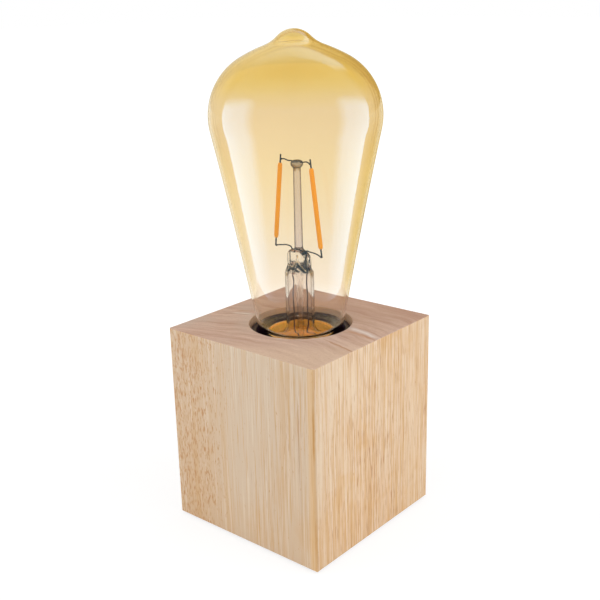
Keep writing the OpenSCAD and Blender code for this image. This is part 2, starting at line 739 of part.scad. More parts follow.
module tip_contact() {
    bevel = mid * tip_h;
    color([0.72, 0.72, 0.70]) revolve([[0, tip_z], [tip_r - 2 * bevel, tip_z], [tip_r, tip_z + bevel],
                                       [tip_r, insulator_z], [0, insulator_z]], small_fn);
}

module cap_insulator() {
    lip_fit_r = cap_lip_r - cap_t - fit_gap;
    seat_r = cap_bore_r - fit_gap;
    color([0.06, 0.05, 0.05]) revolve([[wire_eye_r, insulator_z], [insulator_foot_r, insulator_z],
                                       [lip_fit_r, lip_z], [seat_r, thread_z],
                                       [seat_r, insulator_top], [wire_eye_r, insulator_top]]);
}

module screw_cap() {
    color([0.78, 0.76, 0.70]) revolve([
        [cap_lip_r - cap_t, lip_z], [cap_lip_r, lip_z], [cap_r, thread_z], [cap_r, thread_top],
        [collar_r, collar_z], [collar_r, cap_top], [collar_r - cap_t, cap_top],
        [collar_r - cap_t, collar_z], [cap_bore_r, thread_top], [cap_bore_r, thread_z]]);
}

module cap_cement() {
    cement_top = cap_top - mid;
    color([0.86, 0.74, 0.46]) translate([0, 0, collar_z])
        ring(collar_r - cap_t - fit_gap * mid, neck_r + fit_gap * mid, cement_top - collar_z);
}

// ---- glass ----

module glass_envelope() {
    color([0.92, 0.72, 0.38, 0.4]) revolve(concat(side(bulb_side), backwards(side(bulb_side, glass_t))));
}

module stem_tube() {
    flare_centre = [stem_r + stem_flare_round, stem_foot + stem_t + stem_flare_round];
    outer_round = stem_flare_round;
    inner_round = stem_flare_round + stem_t;
    color([0.90, 0.92, 0.90, 0.4]) revolve(concat(
        [[stem_r, stem_top]], corner(flare_centre, outer_round, 180, 270),
        [[stem_flare_r, stem_foot + stem_t], [stem_flare_r, stem_foot]],
        corner(flare_centre, inner_round, 270, 180), [[stem_r - stem_t, stem_top]]));
}

module exhaust_tube() {
    color([0.90, 0.92, 0.90, 0.4]) difference() {
        union() {
            translate([0, 0, exhaust_z]) sphere(r = exhaust_r, $fn = small_fn);
            translate([0, 0, exhaust_z]) cylinder(r = exhaust_r, h = stem_top - exhaust_z, $fn = small_fn);
        }
        translate([0, 0, exhaust_z])
            cylinder(r = exhaust_r - exhaust_t, h = stem_top - exhaust_z + cut, $fn = small_fn);
    }
}

// The flattened top of the stem, where the wires are sealed in
module stem_press() {
    end_r = mid * press_d;
    end_x = mid * press_w - end_r;
    foot_t = 0.6;
    waist_z = stem_top + press_h * 0.4;
    color([0.90, 0.92, 0.90, 0.5]) stem_side() difference() {
        hull() {
            translate([0, 0, stem_top]) cylinder(r = stem_r, h = foot_t, $fn = 32);
            for (s = [-1, 1]) {
                translate([s * end_x, 0, waist_z]) sphere(r = end_r, $fn = 32);
                translate([s * (end_x - shoulder_inset), 0, press_top - end_r]) sphere(r = end_r, $fn = 32);
            }
        }
        for (s = [-1, 1]) translate([s * lead_x, 0, stem_top - cut])
            cylinder(r = wire_r + bead_swell + fit_gap, h = press_h + 2 * cut, $fn = 16);
    }
}

// Glass rod with the button that holds the upper wires
module stem_rod() {
    button_round = mid * button_h;
    color([0.90, 0.92, 0.90, 0.4]) union() {
        translate([0, 0, press_top])
            cylinder(r1 = rod_foot_r, r2 = rod_r, h = rod_len + mid * button_h, $fn = small_fn);
        revolve(concat([[0, button_z]],
                       corner([button_r - button_round, button_z + button_round], button_round, -90, 90),
                       [[0, button_z + button_h]]), small_fn);
    }
}

// ---- filaments and wires ----

// Everything on the stem stands in one upright plane, turned about the axis
module stem_side() {
    rotate([0, 0, stem_turn]) children();
}

// Places a filament's own upright line: its foot at the foot of the lower pin, leaning towards the axis
module filament_line(side, foot_x, lean) {
    stem_side() translate([side * foot_x, 0, foot_z]) rotate([0, -side * lean, 0]) children();
}

module right_line() {
    filament_line(1, right_foot_x, right_lean) children();
}

module left_line() {
    filament_line(-1, left_foot_x, left_lean) children();
}

module filament() {
    end_r = pin_r + mid * (filament_r - pin_r);
    color([0.93, 0.48, 0.10]) translate([0, 0, pin_len])
        revolve([[0, 0], [end_r, 0], [filament_r, filament_taper],
                 [filament_r, filament_len - filament_taper], [end_r, filament_len], [0, filament_len]],
                small_fn);
}

module filament_right() {
    right_line() filament();
}

module filament_left() {
    left_line() filament();
}

module pin_pair() {
    cylinder(r = pin_r, h = pin_len, $fn = 16);
    translate([0, 0, pin_len + filament_len]) cylinder(r = pin_r, h = pin_len, $fn = 16);
}

module filament_pins() {
    color([0.55, 0.53, 0.50]) {
        right_line() pin_pair();
        left_line() pin_pair();
    }
}

// Point beside a filament's pin, at a distance along the pin from the filament's foot
function weld_point(side, foot_x, lean, along) =
    [side * (foot_x - along * sin(lean) - weld_gap), 0, foot_z + along * cos(lean)];

// From the button out to the upper pin of each filament
module top_wire(side, foot_x, lean) {
    start = button_r - mid * wire_r;
    wire_path([[side * (start + wire_r + fit_gap), 0, upper_wire_z],
               [side * (start + wire_level), 0, upper_wire_z + wire_r],
               weld_point(side, foot_x, lean, pin_len + filament_len + upper_weld)]);
}

module top_wires() {
    color([0.30, 0.28, 0.26]) stem_side() {
        top_wire(1, right_foot_x, right_lean);
        top_wire(-1, left_foot_x, left_lean);
    }
}

// Up through the press, then out to the lower pin of each filament
module bottom_wire(side, foot_x, lean) {
    wire_path([[side * lead_x, 0, stem_top + mid], [side * lead_x, 0, bend_z],
               [side * (lead_x + wire_level), 0, bend_z], weld_point(side, foot_x, lean, wire_r)]);
}

module bottom_wires() {
    color([0.30, 0.28, 0.26]) stem_side() {
        bottom_wire(1, right_foot_x, right_lean);
        bottom_wire(-1, left_foot_x, left_lean);
    }
}

// From the press down the stem to the top corners of the driver board
module lead_wires() {
    board_top = board_z + board_h;
    solder = [board_x + mid * board_t, mid * board_w - solder_inset, board_top + wire_r + fit_gap];
    color([0.72, 0.42, 0.26]) stem_side() {
        wire_path([[lead_x, 0, stem_top - fit_gap], [lead_x, 0, cap_top], solder]);
        wire_path([[-lead_x, 0, stem_top - fit_gap], [-lead_x, 0, cap_top],
                   [solder.x, -solder.y, solder.z]]);
    }
}

// ---- driver ----

board_z = insulator_top + seat_gap;

module driver_board() {
    color([0.82, 0.83, 0.78]) stem_side() translate([board_x, -mid * board_w, board_z])
        cube([board_t, board_w, board_h]);
}

module driver_capacitor() {
    at = [board_x + board_t + fit_gap + capacitor_r, -capacitor_r, board_z + cut];
    color([0.12, 0.12, 0.16]) stem_side() translate(at)
        cylinder(r = capacitor_r, h = capacitor_h, $fn = small_fn);
}

module driver_rectifier() {
    color([0.08, 0.08, 0.08]) stem_side() translate([board_x + board_t, cut, board_z + 2 * cut])
        cube([rectifier_t, rectifier_w, rectifier_h]);
}

module driver_resistor() {
    at = [board_x - fit_gap - resistor_r, -3 * resistor_r, board_z + cut];
    color([0.55, 0.62, 0.45]) stem_side() translate(at)
        cylinder(r = resistor_r, h = resistor_len, $fn = small_fn);
}

// From the board to the tip, and from the board to the lip of the cap
module supply_wires() {
    low = board_z - wire_r - mid * fit_gap;
    side_y = mid * board_w - solder_inset;
    color([0.70, 0.30, 0.22]) stem_side() {
        wire_path([[0, 0, tip_z + tip_h + contact_gap + wire_r], [0, 0, low + 2 * wire_r],
                   [board_x - wire_r - fit_gap, 0, board_z + cut]]);
        wire([board_x - wire_r - fit_gap, side_y, board_z + cut],
             [board_x - wire_r - fit_gap, cap_bore_r - wire_r - board_x * mid, board_z + 3 * cut]);
    }
}

wood_block();
felt_pad();
base_cover();
cover_screws();
cord_bushing();
threaded_nipple();
nipple_nut();
nipple_washer();
holder_cap();
nipple_lock_screw();
holder_skirt();
contact_carrier();
screw_shell();
shell_rivets();
centre_contact();
side_contact();
terminal_blocks();
terminal_screws();
tip_contact();
cap_insulator();
screw_cap();
cap_cement();
glass_envelope();
stem_tube();
exhaust_tube();
stem_press();
stem_rod();
filament_left();
filament_right();
filament_pins();
top_wires();
bottom_wires();
lead_wires();
driver_board();
driver_capacitor();
driver_rectifier();
driver_resistor();
supply_wires();
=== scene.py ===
# Bare bulb table lamp: a wooden block with a filament bulb standing in a lamp holder sunk into its top.
# Metres, +Z up, the front of the block at -Y and the cord inlet at +Y.
import json
import math

import bmesh
import bpy
from mathutils import Matrix, Vector, noise


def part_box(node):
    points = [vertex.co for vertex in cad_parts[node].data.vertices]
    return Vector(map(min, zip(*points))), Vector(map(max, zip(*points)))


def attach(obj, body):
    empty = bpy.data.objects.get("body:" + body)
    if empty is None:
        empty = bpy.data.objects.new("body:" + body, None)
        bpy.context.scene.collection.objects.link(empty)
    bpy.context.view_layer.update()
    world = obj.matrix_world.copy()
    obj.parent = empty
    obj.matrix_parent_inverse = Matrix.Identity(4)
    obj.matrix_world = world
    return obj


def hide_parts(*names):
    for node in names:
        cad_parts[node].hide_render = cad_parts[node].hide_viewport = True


print("loading the packed model")
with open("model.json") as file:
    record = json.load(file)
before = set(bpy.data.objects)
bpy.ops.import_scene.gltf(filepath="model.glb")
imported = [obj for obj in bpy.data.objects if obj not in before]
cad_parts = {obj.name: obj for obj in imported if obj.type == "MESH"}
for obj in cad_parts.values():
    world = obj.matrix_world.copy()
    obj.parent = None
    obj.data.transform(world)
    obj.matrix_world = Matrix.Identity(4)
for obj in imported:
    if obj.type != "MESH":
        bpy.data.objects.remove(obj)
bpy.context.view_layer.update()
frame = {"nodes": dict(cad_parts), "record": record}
nodes = frame["nodes"]
mm = 0.001
bodyOf = {node: body for body, members in frame["record"]["behaviour"]["bodies"].items() for node in members}
slotOf = {part["node"]: part["material_slot"] for part in frame["record"]["subparts"]}


def top(node):
    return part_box(node)[1].z


def foot(node):
    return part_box(node)[0].z


def camel(words):
    first, *rest = words.split("_")
    return first + "".join(word.capitalize() for word in rest)


# Nodes: each shorthand finds its tree from the sockets that it is given

def give(socket, value):
    # a value or another node's output; a colour may come without its alpha
    if isinstance(value, bpy.types.NodeSocket):
        socket.id_data.links.new(value, socket)
    else:
        socket.default_value = (*value, 1.0) if socket.type == "RGBA" and len(value) == 3 else value


def put(tree, kind, inputs=(), **settings):
    made = tree.nodes.new(kind)
    for name, value in settings.items():
        setattr(made, name, value)
    for name, value in dict(inputs).items():
        give(made.inputs[name], value)
    return made


def treeOf(*values):
    return next(value.id_data for value in values if isinstance(value, bpy.types.NodeSocket))


def calc(operation, a, b=0.0, clamp=False):
    made = put(treeOf(a, b), "ShaderNodeMath", {0: a, 1: b}, operation=operation, use_clamp=clamp)
    return made.outputs[0]


def plus(a, b, clamp=False):
    return calc("ADD", a, b, clamp)


def minus(a, b, clamp=False):
    return calc("SUBTRACT", a, b, clamp)


def over(a, b, clamp=False):
    return calc("DIVIDE", a, b, clamp)


def times(a, *others, clamp=False):
    for other in others:
        a = calc("MULTIPLY", a, other, clamp)
    return a


def span(value, low, high, toLow=0.0, toHigh=1.0, kind="SMOOTHSTEP"):
    # a value's range turned into another, clamped at both ends
    made = put(value.id_data, "ShaderNodeMapRange", {"Value": value, "From Min": low, "From Max": high,
                                                     "To Min": toLow, "To Max": toHigh}, interpolation_type=kind)
    return made.outputs["Result"]


def ramp(value, low, high, toLow=0.0, toHigh=1.0):
    return span(value, low, high, toLow, toHigh, "LINEAR")


def blend(share, a, b, how="MIX"):
    made = put(treeOf(share, a, b), "ShaderNodeMix", data_type="RGBA", blend_type=how, clamp_factor=True)
    for index, value in ((0, share), (6, a), (7, b)):
        give(made.inputs[index], value)
    return made.outputs[2]


def vector(x, y, z=0.0):
    return put(treeOf(x, y, z), "ShaderNodeCombineXYZ", {"X": x, "Y": y, "Z": z}).outputs["Vector"]


def parts(value):
    return tuple(put(value.id_data, "ShaderNodeSeparateXYZ", {"Vector": value}).outputs)


def combine(operation, a, b=(0, 0, 0)):
    made = put(a.id_data, "ShaderNodeVectorMath", {0: a, 1: b}, operation=operation)
    return made.outputs["Value" if operation in ("LENGTH", "DOT_PRODUCT") else "Vector"]


def coordinates(tree, kind="Object"):
    return tree.nodes.new("ShaderNodeTexCoord").outputs[kind]


def geometry(tree, kind="Normal"):
    return tree.nodes.new("ShaderNodeNewGeometry").outputs[kind]


def noiseAt(where, scale=1.0, detail=2.0, rough=0.5, distortion=0.0):
    return put(where.id_data, "ShaderNodeTexNoise", {"Vector": where, "Scale": scale, "Detail": detail,
                                                     "Roughness": rough, "Distortion": distortion}).outputs["Fac"]


def cloudy(tree, scale, offset=(0, 0, 0), *shape):
    # noise on stretched Object coordinates
    where = put(tree, "ShaderNodeMapping", {"Vector": coordinates(tree), "Scale": scale, "Location": offset})
    return noiseAt(where.outputs["Vector"], 1.0, *shape)


def socketKind(value):
    if isinstance(value, str):
        return "NodeSocket" + value
    if isinstance(value, tuple):
        return "NodeSocketColor" if len(value) == 4 else "NodeSocketVector"
    return "NodeSocketInt" if isinstance(value, int) else "NodeSocketFloat"


def newTree(name, inputs, outputs, kind="ShaderNodeTree"):
    # each socket has its default value, or else the name of its kind
    tree = bpy.data.node_groups.new(name, kind)
    for side, sockets in (("INPUT", inputs), ("OUTPUT", outputs)):
        for label, value in sockets.items():
            socket = tree.interface.new_socket(label, in_out=side, socket_type=socketKind(value))
            if not isinstance(value, str):
                socket.default_value = value
    return tree, tree.nodes.new("NodeGroupInput").outputs, tree.nodes.new("NodeGroupOutput").inputs


def use(tree, group, values):
    # a group placed in the tree, as its outputs
    return put(tree, "ShaderNodeGroup", values, node_tree=group).outputs


# Materials

def makeMottle():
    # cloudy change of tone, with a fine change on top of it
    group, given, result = newTree("mottle", {"Color": (0.5, 0.5, 0.5, 1.0), "Cloud Scale": 60.0, "Cloud Spread": 0.1,
                                              "Fine Scale": 1500.0, "Fine Spread": 0.05}, {"Color": "Color"})
    where = coordinates(group)
    tone = 1.0
    for layer in ("Cloud", "Fine"):
        swing = times(minus(noiseAt(where, given[layer + " Scale"], 3.0), 0.5), given[layer + " Spread"])
        tone = plus(tone, times(swing, 4.0))
    give(result["Color"], blend(1.0, given["Color"], vector(tone, tone, tone), "MULTIPLY"))
    return group


def makeRelief():
    # uneven gloss and a height for bump
    group, given, result = newTree(
        "relief", {"Scale": 800.0, "Stretch": (1.0, 1.0, 1.0), "Roughness": 0.5, "Spread": 0.1},
        {"Roughness": "Float", "Height": "Float"})
    where = coordinates(group)
    fine = noiseAt(combine("MULTIPLY", where, given["Stretch"]), given["Scale"], 4.0)
    swing = times(minus(plus(fine, noiseAt(where, 90.0)), 1.0), given["Spread"])
    give(result["Roughness"], plus(given["Roughness"], swing, clamp=True))
    give(result["Height"], fine)
    return group


def makeGrain():
    # long thin marks along Z that wander a little from side to side
    group, given, result = newTree(
        "grain", {"Across": 1200.0, "Along": 60.0, "Wander": 0.4, "Rate": 40.0, "Limit": 0.55, "Slope": 8.0,
                  "Place": 0.0}, {"Mask": "Float", "Tone": "Float"})
    where = coordinates(group)
    x, y, z = parts(where)
    sway = noiseAt(combine("MULTIPLY", where, vector(45.0, 45.0, given["Rate"])), 1.0, 1.0)
    shift = times(minus(sway, 0.5), times(given["Wander"], 0.004))
    x, y = (times(plus(value, shift), given["Across"]) for value in (x, y))
    tone = noiseAt(vector(x, y, plus(times(z, given["Along"]), given["Place"])), 1.0, 2.0, 0.55)
    give(result["Mask"], times(minus(tone, given["Limit"]), given["Slope"], clamp=True))
    give(result["Tone"], tone)
    return group


def makeStroke():
    # one drawn mark on a plane: its middle line runs along V from Low to High, and it fades to all sides
    group, given, result = newTree(
        "stroke", {"U": 0.0, "V": 0.0, "Middle": 0.0, "Lean": 0.0, "Bow": 0.0, "Low": 0.0, "High": 0.01,
                   "Half Width": 0.0005, "Waver": 0.0012}, {"Mask": "Float"})
    run = minus(given["V"], given["Low"])
    line = plus(plus(given["Middle"], times(run, given["Lean"])), times(run, run, given["Bow"]))
    rough = times(minus(cloudy(group, (330, 330, 330), (0, 5, 0)), 0.5), given["Waver"])
    away = calc("ABSOLUTE", plus(minus(given["U"], line), rough))
    side = minus(1.0, over(away, given["Half Width"]), clamp=True)
    fade = times(minus(given["High"], given["Low"]), 0.25)
    fall = over(minus(given["High"], given["V"]), fade, clamp=True)
    give(result["Mask"], times(side, times(over(run, fade, clamp=True), fall)))
    return group


mottle = makeMottle()
relief = makeRelief()
grain = makeGrain()
stroke = makeStroke()
materials = {}     # by the record's slot


def newMaterial(slot):
    material = materials[slot] = bpy.data.materials.new(camel(slot))
    material.use_nodes = True
    tree = material.node_tree
    tree.nodes.clear()
    shader = tree.nodes.new("ShaderNodeBsdfPrincipled")
    give(tree.nodes.new("ShaderNodeOutputMaterial").inputs["Surface"], shader.outputs["BSDF"])
    return tree, shader


def dress(shader, values):
    for label, value in values.items():
        give(shader.inputs[label], value)


def bump(shader, height, depth, strength=1.0):
    made = put(height.id_data, "ShaderNodeBump", {"Height": height, "Distance": depth, "Strength": strength})
    give(shader.inputs["Normal"], made.outputs["Normal"])


def mixShaders(tree, share, first, second):
    mix = put(tree, "ShaderNodeMixShader", {"Fac": share, 1: first, 2: second})
    give(tree.nodes["Material Output"].inputs["Surface"], mix.outputs["Shader"])


def plainFinish(slot, colour, rough, metallic=0.0, cloud=0.1, fine=0.05, fineScale=1500.0, grainScale=1200.0,
                stretch=(1, 1, 1), glossSpread=0.15, depth=0.02, sockets=()):
    # moulded, cast, drawn or plated surfaces
    tree, shader = newMaterial(slot)
    tone = use(tree, mottle, {"Color": colour, "Cloud Spread": cloud, "Fine Spread": fine, "Fine Scale": fineScale})
    skin = use(tree, relief, {"Scale": grainScale, "Stretch": stretch, "Roughness": rough, "Spread": glossSpread})
    bump(shader, skin["Height"], depth * mm)
    dress(shader, {"Base Color": tone["Color"], "Roughness": skin["Roughness"], "Metallic": metallic, **dict(sockets)})


print("making the materials")
drawnUp = (1, 1, 0.08)      # lines along Z
drawnRound = (0.12, 0.12, 1)  # lines round the axis
plainFinish("felt", (0.022, 0.022, 0.025), 0.96, cloud=0.3, fine=0.6, fineScale=2600.0, grainScale=2600.0, depth=0.3,
            sockets={"Sheen Weight": 0.25, "Sheen Roughness": 0.6})
plainFinish("cover_plastic", (0.03, 0.03, 0.032), 0.55)
plainFinish("bushing_plastic", (0.018, 0.018, 0.019), 0.42, grainScale=2000.0, depth=0.015)
plainFinish("screw_steel", (0.60, 0.60, 0.58), 0.32, 1.0, stretch=drawnRound, depth=0.01)
plainFinish("plated_steel", (0.70, 0.69, 0.66), 0.28, 1.0, stretch=drawnRound, depth=0.008)
plainFinish("holder_black", (0.016, 0.008, 0.014), 0.30, cloud=0.2, grainScale=500.0, glossSpread=0.06, depth=0.006,
            sockets={"Specular IOR Level": 0.15})
plainFinish("carrier_ceramic", (0.80, 0.76, 0.66), 0.62, cloud=0.12)
plainFinish("shell_brass", (0.78, 0.58, 0.27), 0.26, 1.0, stretch=drawnRound, depth=0.006)
plainFinish("contact_bronze", (0.80, 0.53, 0.30), 0.30, 1.0, stretch=drawnUp, depth=0.006)
plainFinish("tip_solder", (0.66, 0.66, 0.65), 0.35, 1.0, cloud=0.25, grainScale=500.0, depth=0.06)
plainFinish("insulator_black", (0.010, 0.009, 0.010), 0.10, cloud=0.2, grainScale=300.0, glossSpread=0.05, depth=0.01)
# the cement's emission is a painted glow that lifts it out of the shade inside the cap
plainFinish("cement", (1.0, 0.54, 0.09), 0.5, cloud=0.25, fine=0.3, grainScale=700.0, depth=0.12,
            sockets={"Emission Color": (1.0, 0.36, 0.02), "Emission Strength": 0.16})
# the filaments' emission is a painted glow that brightens the coating
plainFinish("filament_coating", (1.0, 0.44, 0.002), 0.7, cloud=0.03, fine=0.03, grainScale=900.0,
            sockets={"Specular IOR Level": 0.05, "Emission Color": (1.0, 0.33, 0.0), "Emission Strength": 0.18})
plainFinish("support_wire", (0.045, 0.040, 0.038), 0.42, 0.5, cloud=0.3, fine=0.3)
plainFinish("copper_wire", (0.10, 0.045, 0.03), 0.45, 0.4, cloud=0.3, fine=0.2, depth=0.01)
plainFinish("board_laminate", (0.62, 0.66, 0.52), 0.45, fine=0.1, grainScale=2500.0)
plainFinish("capacitor_sleeve", (0.025, 0.025, 0.045), 0.25, depth=0.01)
plainFinish("rectifier_resin", (0.02, 0.02, 0.02), 0.55, grainScale=3000.0)
plainFinish("resistor_lacquer", (0.24, 0.36, 0.16), 0.30)
plainFinish("wire_sleeve", (0.45, 0.04, 0.02), 0.35, depth=0.01)

capMetal = {"plating": (0.86, 0.58, 0.22), "tarnish": (1.0, 0.56, 0.12), "glow": (1.0, 0.36, 0.02), "rough": 0.24,
            "depth": 0.006 * mm}


def makeCapMetal():
    # brass plated outside, dull gold inside, where the oven has tarnished it; the inside also has a painted glow
    tree, shader = newMaterial("cap_metal")
    flat = combine("MULTIPLY", coordinates(tree), (1, 1, 0))
    inside = span(combine("DOT_PRODUCT", flat, geometry(tree)), 0.0, -0.004)
    tone = use(tree, mottle, {"Color": capMetal["plating"]})["Color"]
    dull = use(tree, mottle, {"Color": capMetal["tarnish"], "Cloud Spread": 0.2})["Color"]
    skin = use(tree, relief, {"Scale": 1200.0, "Stretch": drawnRound, "Roughness": capMetal["rough"], "Spread": 0.15})
    bump(shader, skin["Height"], capMetal["depth"])
    # painted glow on the inside, to lift it out of its shade
    dress(shader, {"Base Color": blend(inside, tone, dull), "Metallic": ramp(inside, 0, 1, 1.0, 0.1),
                   "Emission Color": blend(inside, (0, 0, 0), capMetal["glow"]), "Emission Strength": 0.16,
                   "Roughness": plus(skin["Roughness"], times(inside, 0.25))})


wood = {
    "front": (0.714, 0.524, 0.353),       # pale ground of the front and left faces, darker than the right by painted shade
    "right": (0.815, 0.598, 0.392),       # pale ground of the right and back faces, lighter than the front by painted light
    "warm": (0.665, 0.388, 0.168),
    "pale": (0.860, 0.715, 0.550),
    "fleck": (0.550, 0.245, 0.075),
    "streak": (0.640, 0.315, 0.085),
    "pore": (0.480, 0.190, 0.050),
    "stain": (0.685, 0.365, 0.115),
    "line": (0.400, 0.150, 0.060),
    "gold": (0.800, 0.480, 0.200),
    "amber": (0.620, 0.290, 0.060),
    "endPale": (0.730, 0.520, 0.415),     # top and underside
    "endDark": (0.490, 0.275, 0.195),
    "endGrey": (0.600, 0.465, 0.390),
    "endFront": (0.705, 0.500, 0.350),    # front corner of the top
    "wall": (0.990, 0.570, 0.370),        # wall of the well, lightened by painted light against its shade
    "ringScale": 250,                     # growth rings, per metre across the grain
    "depth": 0.02 * mm,
    # streaks per metre across and along, limit at the left and at the right, share, place, colour
    "streaks": ((1000, 22, 0.600, 0.510, 0.42, 0.0, "streak"), (2500, 36, 0.570, 0.480, 0.66, 4.0, "streak"),
                (1800, 26, 0.535, 0.500, 0.40, 6.0, "pale"), (2700, 120, 0.650, 0.562, 0.80, 8.0, "pore")),
    # on the front, in millimetres: middle, lower and upper end, half width; then share and colour
    "frontMarks": ((28.8, 34, 70, 0.40, 0.50, "line"), (29.4, 8, 42, 0.5, 0.20, "line"),
                   (35.6, 44, 68, 0.55, 0.80, "amber"), (34.6, 32, 60, 0.35, 0.4, "amber"),
                   (35.8, 6, 24, 0.45, 0.5, "amber")),
    # on the top: middle, left and right end, half width, lean, bow, share, colour
    "topMarks": ((-8.4, -30.0, -19.6, 0.9, 0.42, 0.0, 0.80, (0.88, 0.79, 0.70)),
                 (-5.8, -31.0, -19.4, 2.2, 0.50, 0.0, 0.65, (0.50, 0.255, 0.150)),
                 (5.2, 18.0, 37.5, 2.1, 0.0, -11.0, 0.85, (0.83, 0.71, 0.66)),
                 (2.0, 19.5, 37.0, 1.6, 0.0, -9.0, 0.65, (0.52, 0.25, 0.130)),
                 (-10.2, 19.0, 42.0, 0.8, -0.25, 0.0, 0.85, (0.46, 0.21, 0.100))),
}


def grainMarks(tree, across, along, wander, limit, slope, place, rate=40.0):
    return use(tree, grain, {"Across": across, "Along": along, "Wander": wander, "Rate": rate, "Limit": limit,
                             "Slope": slope, "Place": place})


def drawnMark(u, v, middle, low, high, halfWidth, lean=0.0, bow=0.0, waver=1.2):
    return use(u.id_data, stroke, {"U": u, "V": v, "Middle": middle * mm, "Lean": lean, "Bow": bow, "Low": low * mm,
                                   "High": high * mm, "Half Width": halfWidth * mm, "Waver": waver * mm})["Mask"]


def makeWood():
    tree, shader = newMaterial("wood")
    x, y, z = parts(coordinates(tree))
    facing = parts(geometry(tree))
    onEnd = span(calc("ABSOLUTE", facing[2]), 0.55, 0.85)
    toRight = span(plus(x, times(y, 0.6)), 0.004, 0.030)
    toLeft = span(plus(x, times(cloudy(tree, (0, 0, 60), (0, 0, 3)), 0.012)), 0.006, -0.018)

    # ground of the sides: pale, lighter towards the right and back by painted light, with soft warm bands, and stains
    # on the right
    side = blend(toRight, wood["front"], wood["right"])
    side = blend(span(y, -0.010, 0.036, 0.0, 0.22), side, wood["warm"])
    side = blend(times(toLeft, 0.45), side, wood["warm"])
    bands = cloudy(tree, (230, 230, 9), (3, 1, 0), 3.0, 0.6)
    side = blend(span(bands, 0.46, 0.68, 0.0, 0.50), side, wood["warm"])
    clouds = cloudy(tree, (48, 48, 34), (8, 2, 5), 3.0)
    low = span(z, 0.026, 0.004, 0.0, 0.20)
    side = blend(plus(span(clouds, 0.50, 0.68, 0.0, 0.36), low), side, wood["warm"])
    stains = span(cloudy(tree, (26, 34, 42), (2, 7, 9), 3.0, 0.6), 0.50, 0.66, 0.0, 0.62)
    side = blend(times(stains, toRight), side, wood["stain"])

    # straight streaks and pores, dense towards the right; short flecks, dense in the left third
    patch = times(minus(cloudy(tree, (60, 60, 16), (11, 4, 1)), 0.5), 0.22)
    for across, along, left, right, share, place, tone in wood["streaks"]:
        limit = minus(ramp(toRight, 0, 1, left, right), patch)
        streaks = grainMarks(tree, across, along, 0.12, limit, 8.0, place)["Mask"]
        side = blend(times(streaks, share), side, wood[tone])
    flecks = grainMarks(tree, 2050, 320, 0.30, ramp(toLeft, 0, 1, 0.68, 0.508), 9.0, 9.0, 220.0)["Mask"]
    side = blend(times(flecks, 0.95), side, wood["fleck"])
    lines = grainMarks(tree, 1100, 14, 0.25, 0.70, 14.0, 2.0)["Mask"]
    side = blend(times(lines, 0.45), side, wood["line"])

    # marks that stand out on the front face and along its right edge
    edge = times(span(facing[1], -0.5, -0.8), span(x, 0.0325, 0.0340))
    side = blend(times(edge, 0.55), side, wood["gold"])
    onFront = span(y, -0.030, -0.034)
    for *place, share, tone in wood["frontMarks"]:
        mask = times(drawnMark(x, z, *place, waver=0.5), onFront)
        side = blend(times(mask, share), side, wood[tone])
    # painted light: the wall of the well is lightened against the shade in the well
    inWell = span(combine("LENGTH", vector(x, y)), 0.0215, 0.0208)
    side = blend(times(inWell, 0.85), side, wood["wall"])

    # end grain: growth rings in flat arcs that open towards the front
    bow = minus(times(x, x, 6.0), times(x, 0.2))
    ringAt = plus(plus(y, bow), times(cloudy(tree, (38, 38, 5), (7, 0, 2), 3.0), 0.012))
    ring = noiseAt(vector(times(ringAt, wood["ringScale"]), times(x, 22)), 1.0, 6.0, 0.72)
    end = blend(ramp(ring, 0.36, 0.64), wood["endDark"], wood["endPale"])
    streaky = span(cloudy(tree, (60, 60, 5), (2, 9, 2)), 0.45, 0.65)
    end = blend(times(span(x, 0.006, -0.030, 0.0, 0.55), streaky), end, wood["endGrey"])
    end = blend(span(minus(y, times(x, 0.3)), -0.004, 0.024, 0.0, 0.50), end, wood["endDark"])
    end = blend(span(minus(times(x, 0.8), y), 0.022, 0.052, 0.0, 0.68), end, wood["endFront"])
    dots = cloudy(tree, (1700, 1700, 300), (4, 4, 4))
    end = blend(span(dots, 0.50, 0.72, 0.0, 0.35), end, wood["endDark"])
    for *place, share, tone in wood["topMarks"]:    # pale split lines beside the well, and brown lines with them
        end = blend(times(drawnMark(y, x, *place), share), end, tone)

    fine = grainMarks(tree, 2400, 60, 0.3, 0.5, 1.0, 3.0)["Tone"]
    bump(shader, minus(fine, times(flecks, 0.4)), wood["depth"])
    dress(shader, {"Base Color": blend(onEnd, side, end), "Roughness": ramp(fine, 0.2, 0.8, 0.48, 0.62),
                   "Specular IOR Level": 0.30})


amber = {
    # tint by height, from the neck up
    "tones": ((0.0855, (0.990, 0.975, 0.955)), (0.0925, (0.970, 0.890, 0.780)), (0.104, (0.918, 0.848, 0.735)),
              (0.121, (0.912, 0.818, 0.645)), (0.141, (0.906, 0.795, 0.570)), (0.1590, (0.880, 0.760, 0.545)),
              (0.166, (0.862, 0.745, 0.530)), (0.1725, (0.850, 0.703, 0.345)), (0.179, (0.850, 0.685, 0.285)),
              (0.184, (0.885, 0.740, 0.370))),
    "side": (0.940, 0.850, 0.680),        # beside the deep crown
    "edge": (0.830, 0.640, 0.270),
    "line": (0.580, 0.370, 0.120),
    "neckLustre": (0.35, 0.31, 0.30),     # reflections, in the neck and above it
    "lustre": (0.40, 0.72, 1.0),
    "passing": (0.995, 0.975, 0.91),      # light that reaches what stands behind the glass
    "bend": 1.42,
}


def lookedAt(tree):
    return put(tree, "ShaderNodeLayerWeight", {"Blend": 0.5}).outputs["Facing"]


